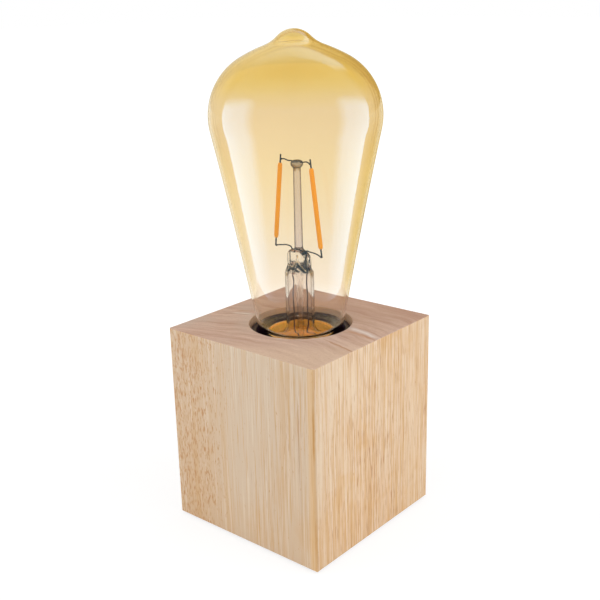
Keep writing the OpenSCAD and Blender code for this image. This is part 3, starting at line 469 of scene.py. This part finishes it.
def makeAmberGlass():
    tree, shader = newMaterial("amber_glass")
    x, y, z = parts(coordinates(tree))
    low, colour = amber["tones"][0]
    for high, tone in amber["tones"][1:]:
        colour = blend(ramp(z, low, high), colour, tone)
        low = high
    facing = lookedAt(tree)
    toRight = span(plus(x, y), -0.02, 0.03, span(z, 0.150, 0.166, 0.55, 0.10), 1.0)
    aboveNeck = span(z, 0.086, 0.104)
    rim = times(span(facing, 0.40, 0.66), toRight, aboveNeck, span(z, 0.148, 0.162, 1.0, 0.35))
    crownSide = times(span(facing, 0.40, 0.70, 0.0, 0.75), span(z, 0.158, 0.170), ramp(toRight, 0, 1, 1.0, 0.6))
    colour = blend(crownSide, colour, amber["side"])
    colour = blend(rim, colour, amber["edge"])
    # a painted dark line, standing in for the line that the inner wall draws by refraction beside the outline
    fromLine = calc("ABSOLUTE", minus(facing, 0.66))
    line = times(span(fromLine, 0.030, 0.0, 0.0, 0.85), span(z, 0.140, 0.156), ramp(toRight, 0, 1, 0.35, 1.0))
    colour = blend(line, colour, amber["line"])
    colour = blend(times(span(facing, 0.80, 0.97, 0.0, 0.7), aboveNeck), colour, amber["line"])
    cloud = span(cloudy(tree, (25, 25, 14), (0, 0, 3)), 0.3, 0.7, 0.97, 1.0)
    bump(shader, cloudy(tree, (30, 30, 18), (5, 0, 0), 1.0), 0.25 * mm, 0.35)
    dress(shader, {"Base Color": blend(1.0, colour, vector(cloud, cloud, cloud), "MULTIPLY"),
                   "Roughness": 0.0, "IOR": amber["bend"], "Transmission Weight": 1.0,
                   "Specular Tint": blend(span(z, 0.088, 0.096), amber["neckLustre"], amber["lustre"])})
    clear = put(tree, "ShaderNodeBsdfTransparent", {"Color": amber["passing"]})
    shadow = tree.nodes.new("ShaderNodeLightPath").outputs["Is Shadow Ray"]
    mixShaders(tree, shadow, shader.outputs["BSDF"], clear.outputs["BSDF"])


stemGlass = {
    "press": (0.95, 0.94, 0.93), "tube": (0.94, 0.91, 0.90), "rod": (0.76, 0.73, 0.82), "button": (0.45, 0.42, 0.44),
    "edge": (0.055, 0.040, 0.030), "pinch": (0.010, 0.008, 0.007), "bend": 1.45, "innerAlpha": 0.25,
}


def makeStemGlass(slot, fused=True):
    # fused: with the marks of the tongs, the colours of the rod and its button, and painted shade at the button's top
    tree, shader = newMaterial(slot)
    z = parts(coordinates(tree))[2]
    tubeFoot, tubeTop, pressTop, rodTop = foot("stem_tube"), top("stem_tube"), top("stem_press"), top("stem_rod")
    colour = blend(span(z, tubeTop, tubeTop + 2 * mm), stemGlass["tube"], stemGlass["press"])
    colour = blend(span(z, pressTop - 0.3 * mm, pressTop + 0.7 * mm), colour, stemGlass["rod"])
    # the button's top turns grey: partly the wires melted into it, partly painted shade
    colour = blend(span(z, rodTop - 3.2 * mm, rodTop - 1.2 * mm), colour, stemGlass["button"])
    upright = span(z, tubeFoot + 6 * mm, tubeFoot + 12 * mm)
    onRod = span(z, pressTop - 0.5 * mm, pressTop + 0.5 * mm)
    # painted shade: the glass turns dark where it is seen edge-on
    grazing = span(plus(lookedAt(tree), times(onRod, 0.28)), 0.36, 0.84, 0.0, 0.97)
    colour = blend(times(grazing, upright), colour, stemGlass["edge"])
    if fused:
        blots = cloudy(tree, (420, 420, 620), (1, 2, 3), 3.0, 0.6, 1.2)
        # the last blots, at the button's top, are partly painted shade
        for low, high, dark in ((tubeTop, tubeTop + 4.6 * mm, 0.47), (pressTop - 1.6 * mm, pressTop + 0.6 * mm, 0.44),
                                (rodTop - 1.1 * mm, rodTop + 0.6 * mm, 0.36)):
            away = calc("ABSOLUTE", minus(z, (low + high) / 2))
            near = span(away, (high - low) / 2, 0.3 * (high - low) / 2)
            colour = blend(times(near, span(blots, dark - 0.03, dark + 0.04)), colour, stemGlass["pinch"])
    bump(shader, cloudy(tree, (160, 160, 90), (5, 0, 0)), 0.35 * mm, 0.4)
    dress(shader, {"Base Color": colour, "Roughness": 0.03, "IOR": stemGlass["bend"], "Transmission Weight": 1.0,
                   "Alpha": 1.0 if fused else stemGlass["innerAlpha"]})     # the thin inner tube hardly shows


makeCapMetal()
makeWood()
makeAmberGlass()
makeStemGlass("clear_glass")
makeStemGlass("exhaust_glass", False)


# Pieces

def newObject(name, data):
    made = bpy.data.objects.new(name, data)
    bpy.context.scene.collection.objects.link(made)
    return made


def finishPiece(piece, node, *others):
    # the piece stands for these nodes and rides on their body
    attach(piece, bodyOf[node])
    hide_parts(node, *others)
    return piece


def newPiece(name, bm, material, sharp=35.0):
    mesh = bpy.data.meshes.new(name)
    for face in bm.faces:
        face.smooth = True
    for edge in bm.edges:
        edge.smooth = edge.calc_face_angle(0.0) < math.radians(sharp)
    bm.to_mesh(mesh)
    bm.free()
    mesh.materials.append(material)
    return newObject(name, mesh)


def smoothCopy(node, slot=None, sharp=35.0):
    # the CAD shape with its doubles merged and its round faces smooth
    bm = bmesh.new()
    bm.from_mesh(nodes[node].data)
    bmesh.ops.remove_doubles(bm, verts=bm.verts, dist=1e-6)
    return finishPiece(newPiece(camel(node), bm, materials[slot or slotOf[node]], sharp), node)


def joined(bm, rings, closed):
    for low, high in zip(rings, rings[1:] + rings[:1] if closed else rings[1:]):
        count = max(len(low), len(high))
        for i in range(count if count > 1 else 0):
            j = (i + 1) % count
            corners = [low[i % len(low)], low[j % len(low)], high[j % len(high)], high[i % len(high)]]
            bm.faces.new(list(dict.fromkeys(corners)))
    bmesh.ops.recalc_face_normals(bm, faces=bm.faces)


def revolved(profile, segments, closed=True):
    # profile points are (radius, height) in metres; a point on the axis becomes a pole
    bm = bmesh.new()
    angles = [2 * math.pi * i / segments for i in range(segments)]
    rings = [[bm.verts.new((radius * math.cos(a), radius * math.sin(a), height)) for a in angles]
             if radius >= 1e-7 else [bm.verts.new((0, 0, height))] for radius, height in profile]
    joined(bm, rings, closed)
    return bm


def turnMesh(bm, degrees, axis="Z"):
    bmesh.ops.rotate(bm, verts=bm.verts, cent=(0, 0, 0), matrix=Matrix.Rotation(math.radians(degrees), 3, axis))


def outward(lean):
    return math.cos(lean), -math.sin(lean)


def turn(points, radius, lean, steps):
    # goes on round an arc from the last point; points are (radius, height, lean)
    x, z, start = points[-1]
    b = outward(start)
    for i in range(1, steps + 1):
        to = start + (lean - start) * i / steps
        a = outward(to)
        points.append((x + radius * (a[0] - b[0]), z + radius * (a[1] - b[1]), to))


bulb = {
    "bulbRadius": 32.05 * mm, "neckRadius": 12.5 * mm, "wall": 0.9 * mm,
    "throatDrop": 0.5 * mm, "throatRadius": 1.6 * mm, "throatTurn": 78,
    "heelRadius": 4.4 * mm, "flareLean": 10, "flareGain": 2.1,
    "shoulderRadius": 24.4 * mm, "crownLean": 61.6, "crownEndLean": 70.1,
    "tipFoot": 10.6 * mm, "tipHollow": 12 * mm, "tipSideLean": 44.5, "segments": 160,
}


def makeBulb():
    # the blown envelope, one closed wall from the neck to the tip
    neckFoot, neck, wall = foot("glass_envelope"), bulb["neckRadius"], bulb["wall"]
    neckHeight = top("screw_cap") - bulb["throatDrop"] - neckFoot
    flare, crownLean, crownEnd, tipSide = (math.radians(bulb[key]) for key in (
        "flareLean", "crownLean", "crownEndLean", "tipSideLean"))
    side = [(neck, neckFoot + neckHeight * i / 4, 0.0) for i in range(5)]
    turn(side, -bulb["throatRadius"], math.radians(bulb["throatTurn"]), 16)
    turn(side, bulb["heelRadius"], flare, 16)
    flareEnd = math.radians(bulb["flareLean"] + bulb["flareGain"])
    shoulderFoot = bulb["bulbRadius"] - bulb["shoulderRadius"] * (1 - math.cos(flareEnd))
    turn(side, -(shoulderFoot - side[-1][0]) / (math.cos(flare) - math.cos(flareEnd)), flareEnd, 40)
    turn(side, bulb["shoulderRadius"], -crownLean, 48)
    turn(side, (side[-1][0] - bulb["tipFoot"]) / (math.cos(crownLean) - math.cos(crownEnd)), -crownEnd, 12)
    turn(side, -bulb["tipHollow"], -tipSide, 16)
    turn(side, side[-1][0] / math.cos(tipSide), -math.radians(90), 20)
    outer = [(max(0.0, r), h) for r, h, lean in side]
    inner = [(max(0.0, r - wall * outward(lean)[0]), h - wall * outward(lean)[1]) for r, h, lean in side]
    outer[-1] = (0.0, min(outer[-1][1], top("glass_envelope")))
    inner[-1] = (0.0, inner[-1][1])
    bm = revolved(outer + inner[::-1], bulb["segments"])
    finishPiece(newPiece("bulbGlass", bm, materials["amber_glass"], 60.0), "glass_envelope")


stem = {
    "turn": -9.0, "radius": 5.6 * mm, "wall": 0.9 * mm, "flareRadius": 11.3 * mm, "flareRound": 5.0 * mm,
    "boreTip": 0.5 * mm, "boreTop": 2.6 * mm, "segments": 72, "crumple": 0.22 * mm, "buttonHeight": 2.8 * mm,
    # share of the press's height, half width, half depth, squareness
    "press": ((0.06, 5.58, 5.1, 2.1), (0.13, 5.5, 4.3, 2.2), (0.20, 5.55, 3.5, 2.4), (0.28, 5.7, 2.75, 2.6),
              (0.36, 5.95, 2.35, 2.8), (0.46, 6.15, 2.2, 3.0), (0.58, 6.15, 2.15, 3.0), (0.70, 6.0, 2.1, 3.0),
              (0.80, 5.6, 2.05, 2.8), (0.88, 4.9, 1.95, 2.5), (0.94, 3.9, 1.8, 2.3), (0.98, 2.9, 1.6, 2.1),
              (1.0, 2.2, 1.75, 2.0), (1.04, 1.78, 1.68, 2.0), (1.10, 1.65, 1.65, 2.0)),
    # share of the button's height, radius
    "button": ((0.0, 1.7), (0.12, 2.1), (0.3, 2.36), (0.5, 2.4), (0.7, 2.3), (0.86, 1.9), (0.96, 1.1)),
}


def makeStem():
    # flare, tube, press, rod and button in one melted piece of glass, with the bore of the tube inside it
    low, tubeTop, pressTop, rodTop = foot("stem_tube"), top("stem_tube"), top("stem_press"), top("stem_rod")
    radius, wall, bend, tip = stem["radius"], stem["wall"], stem["flareRound"], stem["boreTip"]
    bore, boreTop, flareTop = radius - wall, pressTop - stem["boreTop"], low + wall + bend
    pressHeight, steps = pressTop - tubeTop, 12
    sections = []                                   # (height, half width, half depth, squareness)

    def roundAt(height, r):
        sections.append((height, r, r, 2.0))

    for i in range(7):                              # the narrow end of the bore, inside the press
        share = i / 6
        narrow, thin = tip * (1 - share), 0.05 * mm
        sections.append((boreTop - share * (boreTop - tubeTop), narrow + bore * share ** 2.2 + thin,
                         narrow * 0.7 + bore * share ** 1.3 * 0.55 + bore * 0.45 * share ** 4 + thin, 2.0))
    for i in range(1, 9):
        roundAt(tubeTop + (flareTop - tubeTop) * i / 8, bore)
    for i in range(1, steps + 1):                   # inside of the flare
        a = math.radians(180 + 90 * i / steps)
        roundAt(flareTop + (bend + wall) * math.sin(a), radius + bend + (bend + wall) * math.cos(a))
    for inward, up in ((-0.3, 0.0), (0.0, 0.3), (0.0, 0.6), (-0.3, 0.9)):
        roundAt(low + up * mm, stem["flareRadius"] + inward * mm)
    for i in range(steps + 1):                      # outside of the flare
        a = math.radians(270 - 90 * i / steps)
        roundAt(flareTop + bend * math.sin(a), radius + bend + bend * math.cos(a))
    for i in range(1, 9):
        roundAt(flareTop + (tubeTop - flareTop) * i / 8, radius)
    for share, a, b, power in stem["press"]:
        sections.append((tubeTop + share * pressHeight, a * mm, b * mm, power))
    rodLow, buttonLow = sections[-1][0], rodTop - stem["buttonHeight"]
    for i in range(1, 15):
        roundAt(rodLow + (buttonLow - 0.4 * mm - rodLow) * i / 14, (1.65 - 0.2 * i / 14) * mm)
    for share, r in stem["button"]:
        roundAt(buttonLow + share * stem["buttonHeight"], r * mm)

    bm = bmesh.new()
    rings = [[bm.verts.new((0, 0, sections[0][0] + 0.3 * mm))]]
    for height, a, b, power in sections:
        ring = []
        for i in range(stem["segments"]):
            angle = 2 * math.pi * i / stem["segments"]
            c, s = math.cos(angle), math.sin(angle)
            ring.append(bm.verts.new((a * math.copysign(abs(c) ** (2 / power), c),
                                      b * math.copysign(abs(s) ** (2 / power), s), height)))
        rings.append(ring)
    rings.append([bm.verts.new((0, 0, rodTop))])
    joined(bm, rings, False)
    crumpleLow, crumpleHigh = tubeTop - 0.3 * mm, tubeTop + 4.2 * mm
    for vert in bm.verts:                           # the pinch left by the tongs
        height = vert.co.z
        if crumpleLow < height < crumpleHigh and vert.co.xy.length > radius - wall * 0.5 - 3.4 * mm:
            fade = math.sin(math.pi * (height - crumpleLow) / (crumpleHigh - crumpleLow))
            push = noise.noise(vert.co * 900.0) * fade * stem["crumple"]
            vert.co.xy *= 1 + push / max(vert.co.xy.length, mm)
    turnMesh(bm, stem["turn"])
    piece = newPiece("stemGlass", bm, materials["clear_glass"], 60.0)
    piece.visible_shadow = False                    # clear glass keeps no light from the cap below it
    finishPiece(piece, "stem_press", "stem_tube", "stem_rod")


# Geometry Nodes

def newShape(name, inputs):
    return newTree(name, {"Geometry": "Geometry", **inputs, "Material": "Material"}, {"Geometry": "Geometry"},
                   "GeometryNodeTree")


def closeShape(tree, shape, given, result, smooth=True):
    if smooth:
        shape = put(tree, "GeometryNodeSetShadeSmooth", {"Geometry": shape, "Shade Smooth": True}).outputs[0]
    whole = put(tree, "GeometryNodeRealizeInstances", {"Geometry": shape}).outputs[0]
    made = put(tree, "GeometryNodeSetMaterial", {"Geometry": whole, "Material": given["Material"]})
    give(result["Geometry"], made.outputs["Geometry"])
    return tree


def evaluated(carrier, tree, values, name):
    # runs the tree on the carrier and keeps the result as a plain mesh
    modifier = carrier.modifiers.new(name, "NODES")
    modifier.node_group = tree
    for item in tree.interface.items_tree:
        if item.item_type == "SOCKET" and item.in_out == "INPUT" and item.name in values:
            modifier[item.identifier] = values[item.name]
    graph = bpy.context.evaluated_depsgraph_get()
    mesh = bpy.data.meshes.new_from_object(carrier.evaluated_get(graph))
    carrier.modifiers.remove(modifier)
    bpy.data.objects.remove(carrier)
    mesh.name = name
    return newObject(name, mesh)


def makeWireTree():
    # round wire along every curve
    tree, given, result = newShape("roundWire", {"Radius": 0.25 * mm, "Sides": 12})
    circle = put(tree, "GeometryNodeCurvePrimitiveCircle", {"Radius": given["Radius"], "Resolution": given["Sides"]})
    swept = put(tree, "GeometryNodeCurveToMesh", {"Curve": given["Geometry"], "Profile Curve": circle.outputs["Curve"],
                                                  "Fill Caps": True})
    return closeShape(tree, swept.outputs["Mesh"], given, result)


def makeThreadTree():
    # pushes a plain tube in and out along a right-handed screw line
    tree, given, result = newShape("rolledThread", {"Pitch": 3.629 * mm, "Depth": 1.0 * mm, "Low": 0.0, "High": 1.0,
                                                    "Fade": 1.6 * mm})
    x, y, z = parts(tree.nodes.new("GeometryNodeInputPosition").outputs[0])
    angle = calc("ARCTAN2", y, x)
    turns = times(over(z, given["Pitch"]), 2 * math.pi)
    wave = calc("COSINE", minus(turns, angle))
    rise = over(minus(z, given["Low"]), given["Fade"], clamp=True)
    fall = over(minus(given["High"], z), given["Fade"], clamp=True)
    push = times(wave, times(rise, fall), times(given["Depth"], 0.5))
    direction = vector(calc("COSINE", angle), calc("SINE", angle))
    offset = put(tree, "ShaderNodeVectorMath", {0: direction, "Scale": push}, operation="SCALE")
    moved = put(tree, "GeometryNodeSetPosition", {"Geometry": given["Geometry"], "Offset": offset.outputs[0]})
    return closeShape(tree, moved.outputs["Geometry"], given, result)


def makeBeadTree():
    # a melted bead at every point
    tree, given, result = newShape("weldBead", {"Radius": 0.5 * mm, "Seed": 3})
    ball = put(tree, "GeometryNodeMeshIcoSphere", {"Radius": given["Radius"], "Subdivisions": 3})
    turned = put(tree, "FunctionNodeRandomValue", {"Seed": given["Seed"]}, data_type="FLOAT_VECTOR")
    turned.inputs[1].default_value = (6.28, 6.28, 6.28)
    sized = put(tree, "FunctionNodeRandomValue", {"Seed": given["Seed"]}, data_type="FLOAT_VECTOR")
    sized.inputs[0].default_value = (0.8, 0.8, 0.9)
    sized.inputs[1].default_value = (1.1, 1.1, 1.3)
    placed = put(tree, "GeometryNodeInstanceOnPoints", {"Points": given["Geometry"], "Instance": ball.outputs["Mesh"],
                                                        "Rotation": turned.outputs[0], "Scale": sized.outputs[0]})
    return closeShape(tree, placed.outputs["Instances"], given, result, False)


wireTree = makeWireTree()
threadTree = makeThreadTree()
beadTree = makeBeadTree()


def curveCarrier(paths):
    data = bpy.data.curves.new("paths", "CURVE")
    data.dimensions = "3D"
    for path in paths:
        spline = data.splines.new("BEZIER")
        spline.bezier_points.add(len(path) - 1)
        for point, at in zip(spline.bezier_points, path):
            point.co = at
            point.handle_left_type = point.handle_right_type = "AUTO"
        spline.resolution_u = 8
    return newObject("paths", data)


def inPlane(s, z, y=0.0):
    # a point of the stem's own upright plane, turned with the stem
    a = math.radians(stem["turn"])
    return Vector((s * math.cos(a) - y * math.sin(a), s * math.sin(a) + y * math.cos(a), z))


mount = {
    "footRight": 13.0 * mm, "footLeft": 14.0 * mm, "leanRight": 8.6, "leanLeft": 7.4,
    "filament": 30 * mm, "pin": 3.3 * mm, "weldAbove": 1.5 * mm, "lead": 4.1 * mm, "wireRadius": 0.25 * mm,
    "inset": 0.45 * mm, "weldOut": 0.2 * mm,       # a wire's end beside its pin, and the weld's middle past it
    "beadRadius": 0.46 * mm, "stripRadius": 0.92 * mm, "stripEnd": 0.45 * mm, "stripTaper": 1.3 * mm,
}


def alongFilament(side, distance):
    # a point on the line of one filament, from the foot of its lower pin
    right = side > 0
    lean = math.radians(mount["leanRight" if right else "leanLeft"])
    start = mount["footRight" if right else "footLeft"]
    return side * (start - distance * math.sin(lean)), top("stem_press") - 1.1 * mm + distance * math.cos(lean)


def makeWires():
    pressTop, rodTop, tubeTop, bottom = top("stem_press"), top("stem_rod"), top("stem_tube"), foot("lead_wires")
    upper, lower, leads, welds = [], [], [], []
    for side in (1, -1):
        lead = side * mount["lead"]
        s, z = alongFilament(side, mount["pin"] + mount["filament"] + mount["weldAbove"])
        s -= side * mount["inset"]
        start, rise = side * 2.2 * mm, rodTop - 0.85 * mm
        bends = ([(start + 1.5 * mm, rise + 0.25 * mm), (s - 1.6 * mm, z + 0.55 * mm)] if side > 0 else
                 [(start - 1.0 * mm, rise + 0.15 * mm), (start - 2.4 * mm, z - 0.1 * mm),
                  (s + 1.6 * mm, z + 0.25 * mm)])
        upper.append([inPlane(*at) for at in ((start, rise), *bends, (s, z))])
        welds.append(inPlane(s + side * mount["weldOut"], z))
        s, z = alongFilament(side, mount["wireRadius"])
        s -= side * mount["inset"]
        lower.append([inPlane(*at) for at in (
            (lead, tubeTop + 0.5 * mm), (lead, pressTop - 2.5 * mm), (lead + side * 0.2 * mm, pressTop - 0.2 * mm),
            (lead + side * 2.2 * mm, pressTop + (0.35 if side < 0 else -0.1) * mm),
            ((lead + s) / 2 + side * 1.6 * mm, (pressTop + z) / 2 + 0.2 * mm), (s, z))])
        welds.append(inPlane(s + side * mount["weldOut"], z))
        path = [inPlane(lead, tubeTop + 0.4 * mm)]
        for i in range(1, 7):
            height = tubeTop + (bottom + 6 * mm - tubeTop) * i / 6
            sway, depth = 0.35 * mm * math.sin(2.1 * i), 0.25 * mm * math.sin(1.7 * i + side)
            path.append(inPlane(lead - side * sway, height, depth))
        leads.append(path + [inPlane(3.6 * mm, bottom + 2.5 * mm, side * 4.4 * mm),
                             inPlane(3.1 * mm, bottom + 0.4 * mm, side * 5.5 * mm)])
    for node, paths in (("top_wires", upper), ("bottom_wires", lower), ("lead_wires", leads)):
        values = {"Radius": mount["wireRadius"], "Sides": 12, "Material": materials[slotOf[node]]}
        finishPiece(evaluated(curveCarrier(paths), wireTree, values, camel(node)), node)
    cloud = bpy.data.meshes.new("weldPoints")
    cloud.from_pydata([tuple(at) for at in welds], [], [])
    values = {"Radius": mount["beadRadius"], "Seed": 3, "Material": materials["support_wire"]}
    beads = evaluated(newObject("weldPoints", cloud), beadTree, values, "weldBeads")
    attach(beads, "bulb")


def makeFilaments():
    # coated strip with rounded ends, very slightly uneven
    length, radius, end, taper = mount["filament"], mount["stripRadius"], mount["stripEnd"], mount["stripTaper"]
    rounded = [(end + (radius - end) * math.sin(math.radians(90 * i / 8)),
                taper * (1 - math.cos(math.radians(90 * i / 8)))) for i in range(9)]
    heights = [taper + (length - 2 * taper) * i / 60 for i in range(1, 60)]
    uneven = [(radius + 0.012 * mm * math.sin(height / mm * 5.2), height) for height in heights]
    profile = [(0.0, 0.0), *rounded, *uneven, *((r, length - height) for r, height in rounded[::-1]), (0.0, length)]
    for side, node in ((1, "filament_right"), (-1, "filament_left")):
        bm = revolved(profile, 32, False)
        bmesh.ops.scale(bm, verts=bm.verts, vec=(1, 0.9, 1))
        turnMesh(bm, -side * mount["leanRight" if side > 0 else "leanLeft"], "Y")
        s, z = alongFilament(side, mount["pin"])
        bmesh.ops.translate(bm, verts=bm.verts, vec=(s, 0, z))
        turnMesh(bm, stem["turn"])
        finishPiece(newPiece(camel(node), bm, materials["filament_coating"], 60.0), node)


thread = {
    "pitch": 3.629 * mm, "depth": 1.0 * mm, "fade": 1.8 * mm, "rings": 90, "shellRings": 130, "segments": 96,
    "capRadius": 12.65 * mm, "capLead": 1.4 * mm, "capTurns": 4.13, "collarRise": 1.2 * mm, "capSheet": 0.35 * mm,
    "shellSheet": 0.4 * mm, "shellEye": 9.5 * mm,
}


def threaded(node, profile, low, high):
    name, material = camel(node), materials[slotOf[node]]
    carrier = newPiece(name + "Tube", revolved(profile, thread["segments"]), material)
    values = {"Pitch": thread["pitch"], "Depth": thread["depth"], "Low": low, "High": high, "Fade": thread["fade"],
              "Material": material}
    finishPiece(evaluated(carrier, threadTree, values, name), node)


def stepped(a, b, count):
    return [(a[0] + (b[0] - a[0]) * i / count, a[1] + (b[1] - a[1]) * i / count) for i in range(1, count + 1)]


def makeThreads():
    low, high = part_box("screw_cap")
    radius, collar = thread["capRadius"], high.x
    threadLow = low.z + thread["capLead"]
    threadHigh = threadLow + thread["capTurns"] * thread["pitch"]
    collarLow = threadHigh + thread["collarRise"]
    points = [(11.6 * mm, low.z), (11.75 * mm, low.z + 0.15 * mm)]
    points += stepped(points[-1], (radius, threadLow), 3)
    points += stepped((radius, threadLow), (radius, threadHigh), thread["rings"])
    points += stepped((radius, threadHigh), (collar, collarLow), 4)
    points += stepped((collar, collarLow), (collar, high.z), 6)
    inside = [(r - thread["capSheet"], h) for r, h in points[::-1]]
    threaded("screw_cap", points + inside, threadLow, threadHigh)
    low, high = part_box("screw_shell")
    outer, sheet, eye, count = high.x, thread["shellSheet"], thread["shellEye"], thread["shellRings"]
    profile = [(eye, low.z), (outer - 0.5 * mm, low.z), (outer, low.z + 0.5 * mm)]
    profile += stepped(profile[-1], (outer, high.z), count)
    profile += [(outer - sheet, high.z), *stepped((outer - sheet, high.z), (outer - sheet, low.z + 0.7 * mm), count)]
    profile += [(outer - 0.6 * mm, low.z + sheet), (eye, low.z + sheet)]
    threaded("screw_shell", profile, low.z + 1.0 * mm, high.z)


print("making the bulb")
makeBulb()
makeStem()
makeWires()
makeFilaments()
makeThreads()

print("finishing the other pieces")
smoothCopy("exhaust_tube", "exhaust_glass", 60.0).visible_shadow = False
for node in ("holder_cap", "holder_skirt", "cord_bushing", "threaded_nipple", "nipple_nut", "nipple_washer",
             "nipple_lock_screw", "base_cover", "cover_screws", "contact_carrier", "shell_rivets", "centre_contact",
             "side_contact", "terminal_blocks", "terminal_screws", "tip_contact", "cap_insulator", "cap_cement",
             "filament_pins", "driver_board", "driver_capacitor", "driver_rectifier", "driver_resistor",
             "supply_wires"):
    smoothCopy(node)
for node in ("wood_block", "felt_pad"):
    mesh = nodes[node].data
    mesh.materials.clear()
    mesh.materials.append(materials[slotOf[node]])


print("making the stage, the lights and the camera")
stage = {
    "floor": (0.90, 0.90, 0.90), "size": 6.0, "drop": 0.05 * mm, "shadowShare": 0.30, "shadowNear": 0.10,
    "shadowFar": 0.30, "glow": 1.13, "world": 0.50, "cardLeft": (0.87, 0.74, 0.50), "cardRight": (0.70, 0.48, 0.15),
    "target": (0, 0, 0.09), "soft": (0.9, 0.9), "window": (0.957, 1.26), "strip": (0.95, 0.32),
    "windowTint": (0.42, 0.72, 1.0), "stripTint": (0.6, 0.85, 1.0),
    "lens": 57.3716, "sensor": 36.0, "cameraAt": (0.230103, -0.268482, 0.203412),
    "cameraTurn": (1.259870, 0.023345, 0.701195),
}


def showsWhite(tree):
    # rays of the camera, and those that metal and glass send on, see white
    rays = tree.nodes.new("ShaderNodeLightPath").outputs
    return calc("MAXIMUM", calc("MAXIMUM", rays["Is Camera Ray"], rays["Is Glossy Ray"]), rays["Is Transmission Ray"])


def makeFloor():
    tree, shader = newMaterial("pale_floor")
    dress(shader, {"Base Color": stage["floor"], "Roughness": 0.9})
    away = combine("LENGTH", coordinates(tree))
    kept = span(away, stage["shadowNear"], stage["shadowFar"], 1 - stage["shadowShare"], 1.0)
    glow = put(tree, "ShaderNodeEmission", {"Color": (1, 1, 1), "Strength": stage["glow"]})
    mixShaders(tree, times(showsWhite(tree), kept), shader.outputs["BSDF"], glow.outputs["Emission"])
    bm = bmesh.new()
    bmesh.ops.create_grid(bm, x_segments=4, y_segments=4, size=stage["size"])
    bmesh.ops.translate(bm, verts=bm.verts, vec=(0, 0, -stage["drop"]))
    floor = newPiece("floor", bm, materials["pale_floor"])
    floor.visible_glossy = False        # the windows reach below it


def makeWorld():
    world = bpy.context.scene.world = bpy.data.worlds.new("paleRoom")
    world.use_nodes = True
    tree = world.node_tree
    background = tree.nodes["Background"].inputs
    # gold cards stand on both sides of the white backdrop, and only reflections show them
    where = coordinates(tree, "Generated")
    behind = combine("DOT_PRODUCT", where, (-0.651, 0.759, 0.0))
    rightward = combine("DOT_PRODUCT", where, (0.759, 0.651, 0.0))
    beside = times(span(behind, 0.15, 0.45), span(behind, 0.995, 0.97), span(parts(where)[2], 0.80, 0.60))
    card = blend(span(rightward, -0.1, 0.1), stage["cardLeft"], stage["cardRight"])
    glossy = tree.nodes.new("ShaderNodeLightPath").outputs["Is Glossy Ray"]
    give(background["Color"], blend(times(beside, glossy), (1, 1, 1), card))
    give(background["Strength"], ramp(showsWhite(tree), 0, 1, stage["world"], 1.0))


def areaLight(name, azimuth, elevation, distance, size, power, colour=(1, 1, 1), fade=()):
    # azimuth is from the front of the block, to the right seen from above. A lamp with a fade is only mirrored;
    # fade holds the parts of the width over which its left and right side fade, and the height of its faded top
    # at the left and at the right
    data = bpy.data.lights.new(name, "AREA")
    data.shape = "RECTANGLE"
    data.size, data.size_y = size
    data.energy = power
    data.color = colour
    if fade:
        left, right, topLeft, topRight = fade
        data.use_nodes = True
        tree = data.node_tree
        u, v = parts(geometry(tree, "Parametric"))[:2]
        below = minus(ramp(u, 0, 1, topLeft, topRight), v)
        strength = times(span(u, 0, left), span(u, 1, 1 - right), span(below, 0.0, 0.24),
                         span(below, 0.15, 0.60, 0.90, 1.0), span(v, 0.0, 0.22))
        give(tree.nodes["Emission"].inputs["Strength"], strength)
    lamp = newObject(name, data)
    a, e = math.radians(azimuth), math.radians(elevation)
    target = Vector(stage["target"])
    place = Vector((math.sin(a) * math.cos(e), -math.cos(a) * math.cos(e), math.sin(e))) * distance + target
    lamp.location = place
    lamp.rotation_euler = (target - place).to_track_quat("-Z", "Y").to_euler()
    lamp.visible_camera = lamp.visible_transmission = False
    lamp.visible_diffuse, lamp.visible_glossy = not fade, bool(fade)


makeFloor()
makeWorld()
areaLight("leftSoft", -45, 25, 1.0, stage["soft"], 3.2)
areaLight("rightSoft", 115, 25, 1.0, stage["soft"], 4.2)
areaLight("ceilingSoft", 40, 80, 1.2, stage["soft"], 3.0)
areaLight("leftWindow", -40, -1, 0.9, stage["window"], 27.0, stage["windowTint"], (0.02, 0.35, 0.84, 1.16))
areaLight("rightWindow", 121, -1, 0.9, stage["window"], 27.0, stage["windowTint"], (0.35, 0.02, 1.16, 0.84))
areaLight("backStrip", -163, 55, 1.0, stage["strip"], 4.6, stage["stripTint"], (0.3, 1.4, 1.15, 1.15))

camera = newObject("camera", bpy.data.cameras.new("camera"))
camera.data.sensor_fit = "HORIZONTAL"
camera.data.sensor_width = stage["sensor"]
camera.data.lens = stage["lens"]
camera.location = stage["cameraAt"]
camera.rotation_euler = stage["cameraTurn"]
bpy.context.scene.camera = camera
bpy.context.scene.view_settings.view_transform = "Standard"
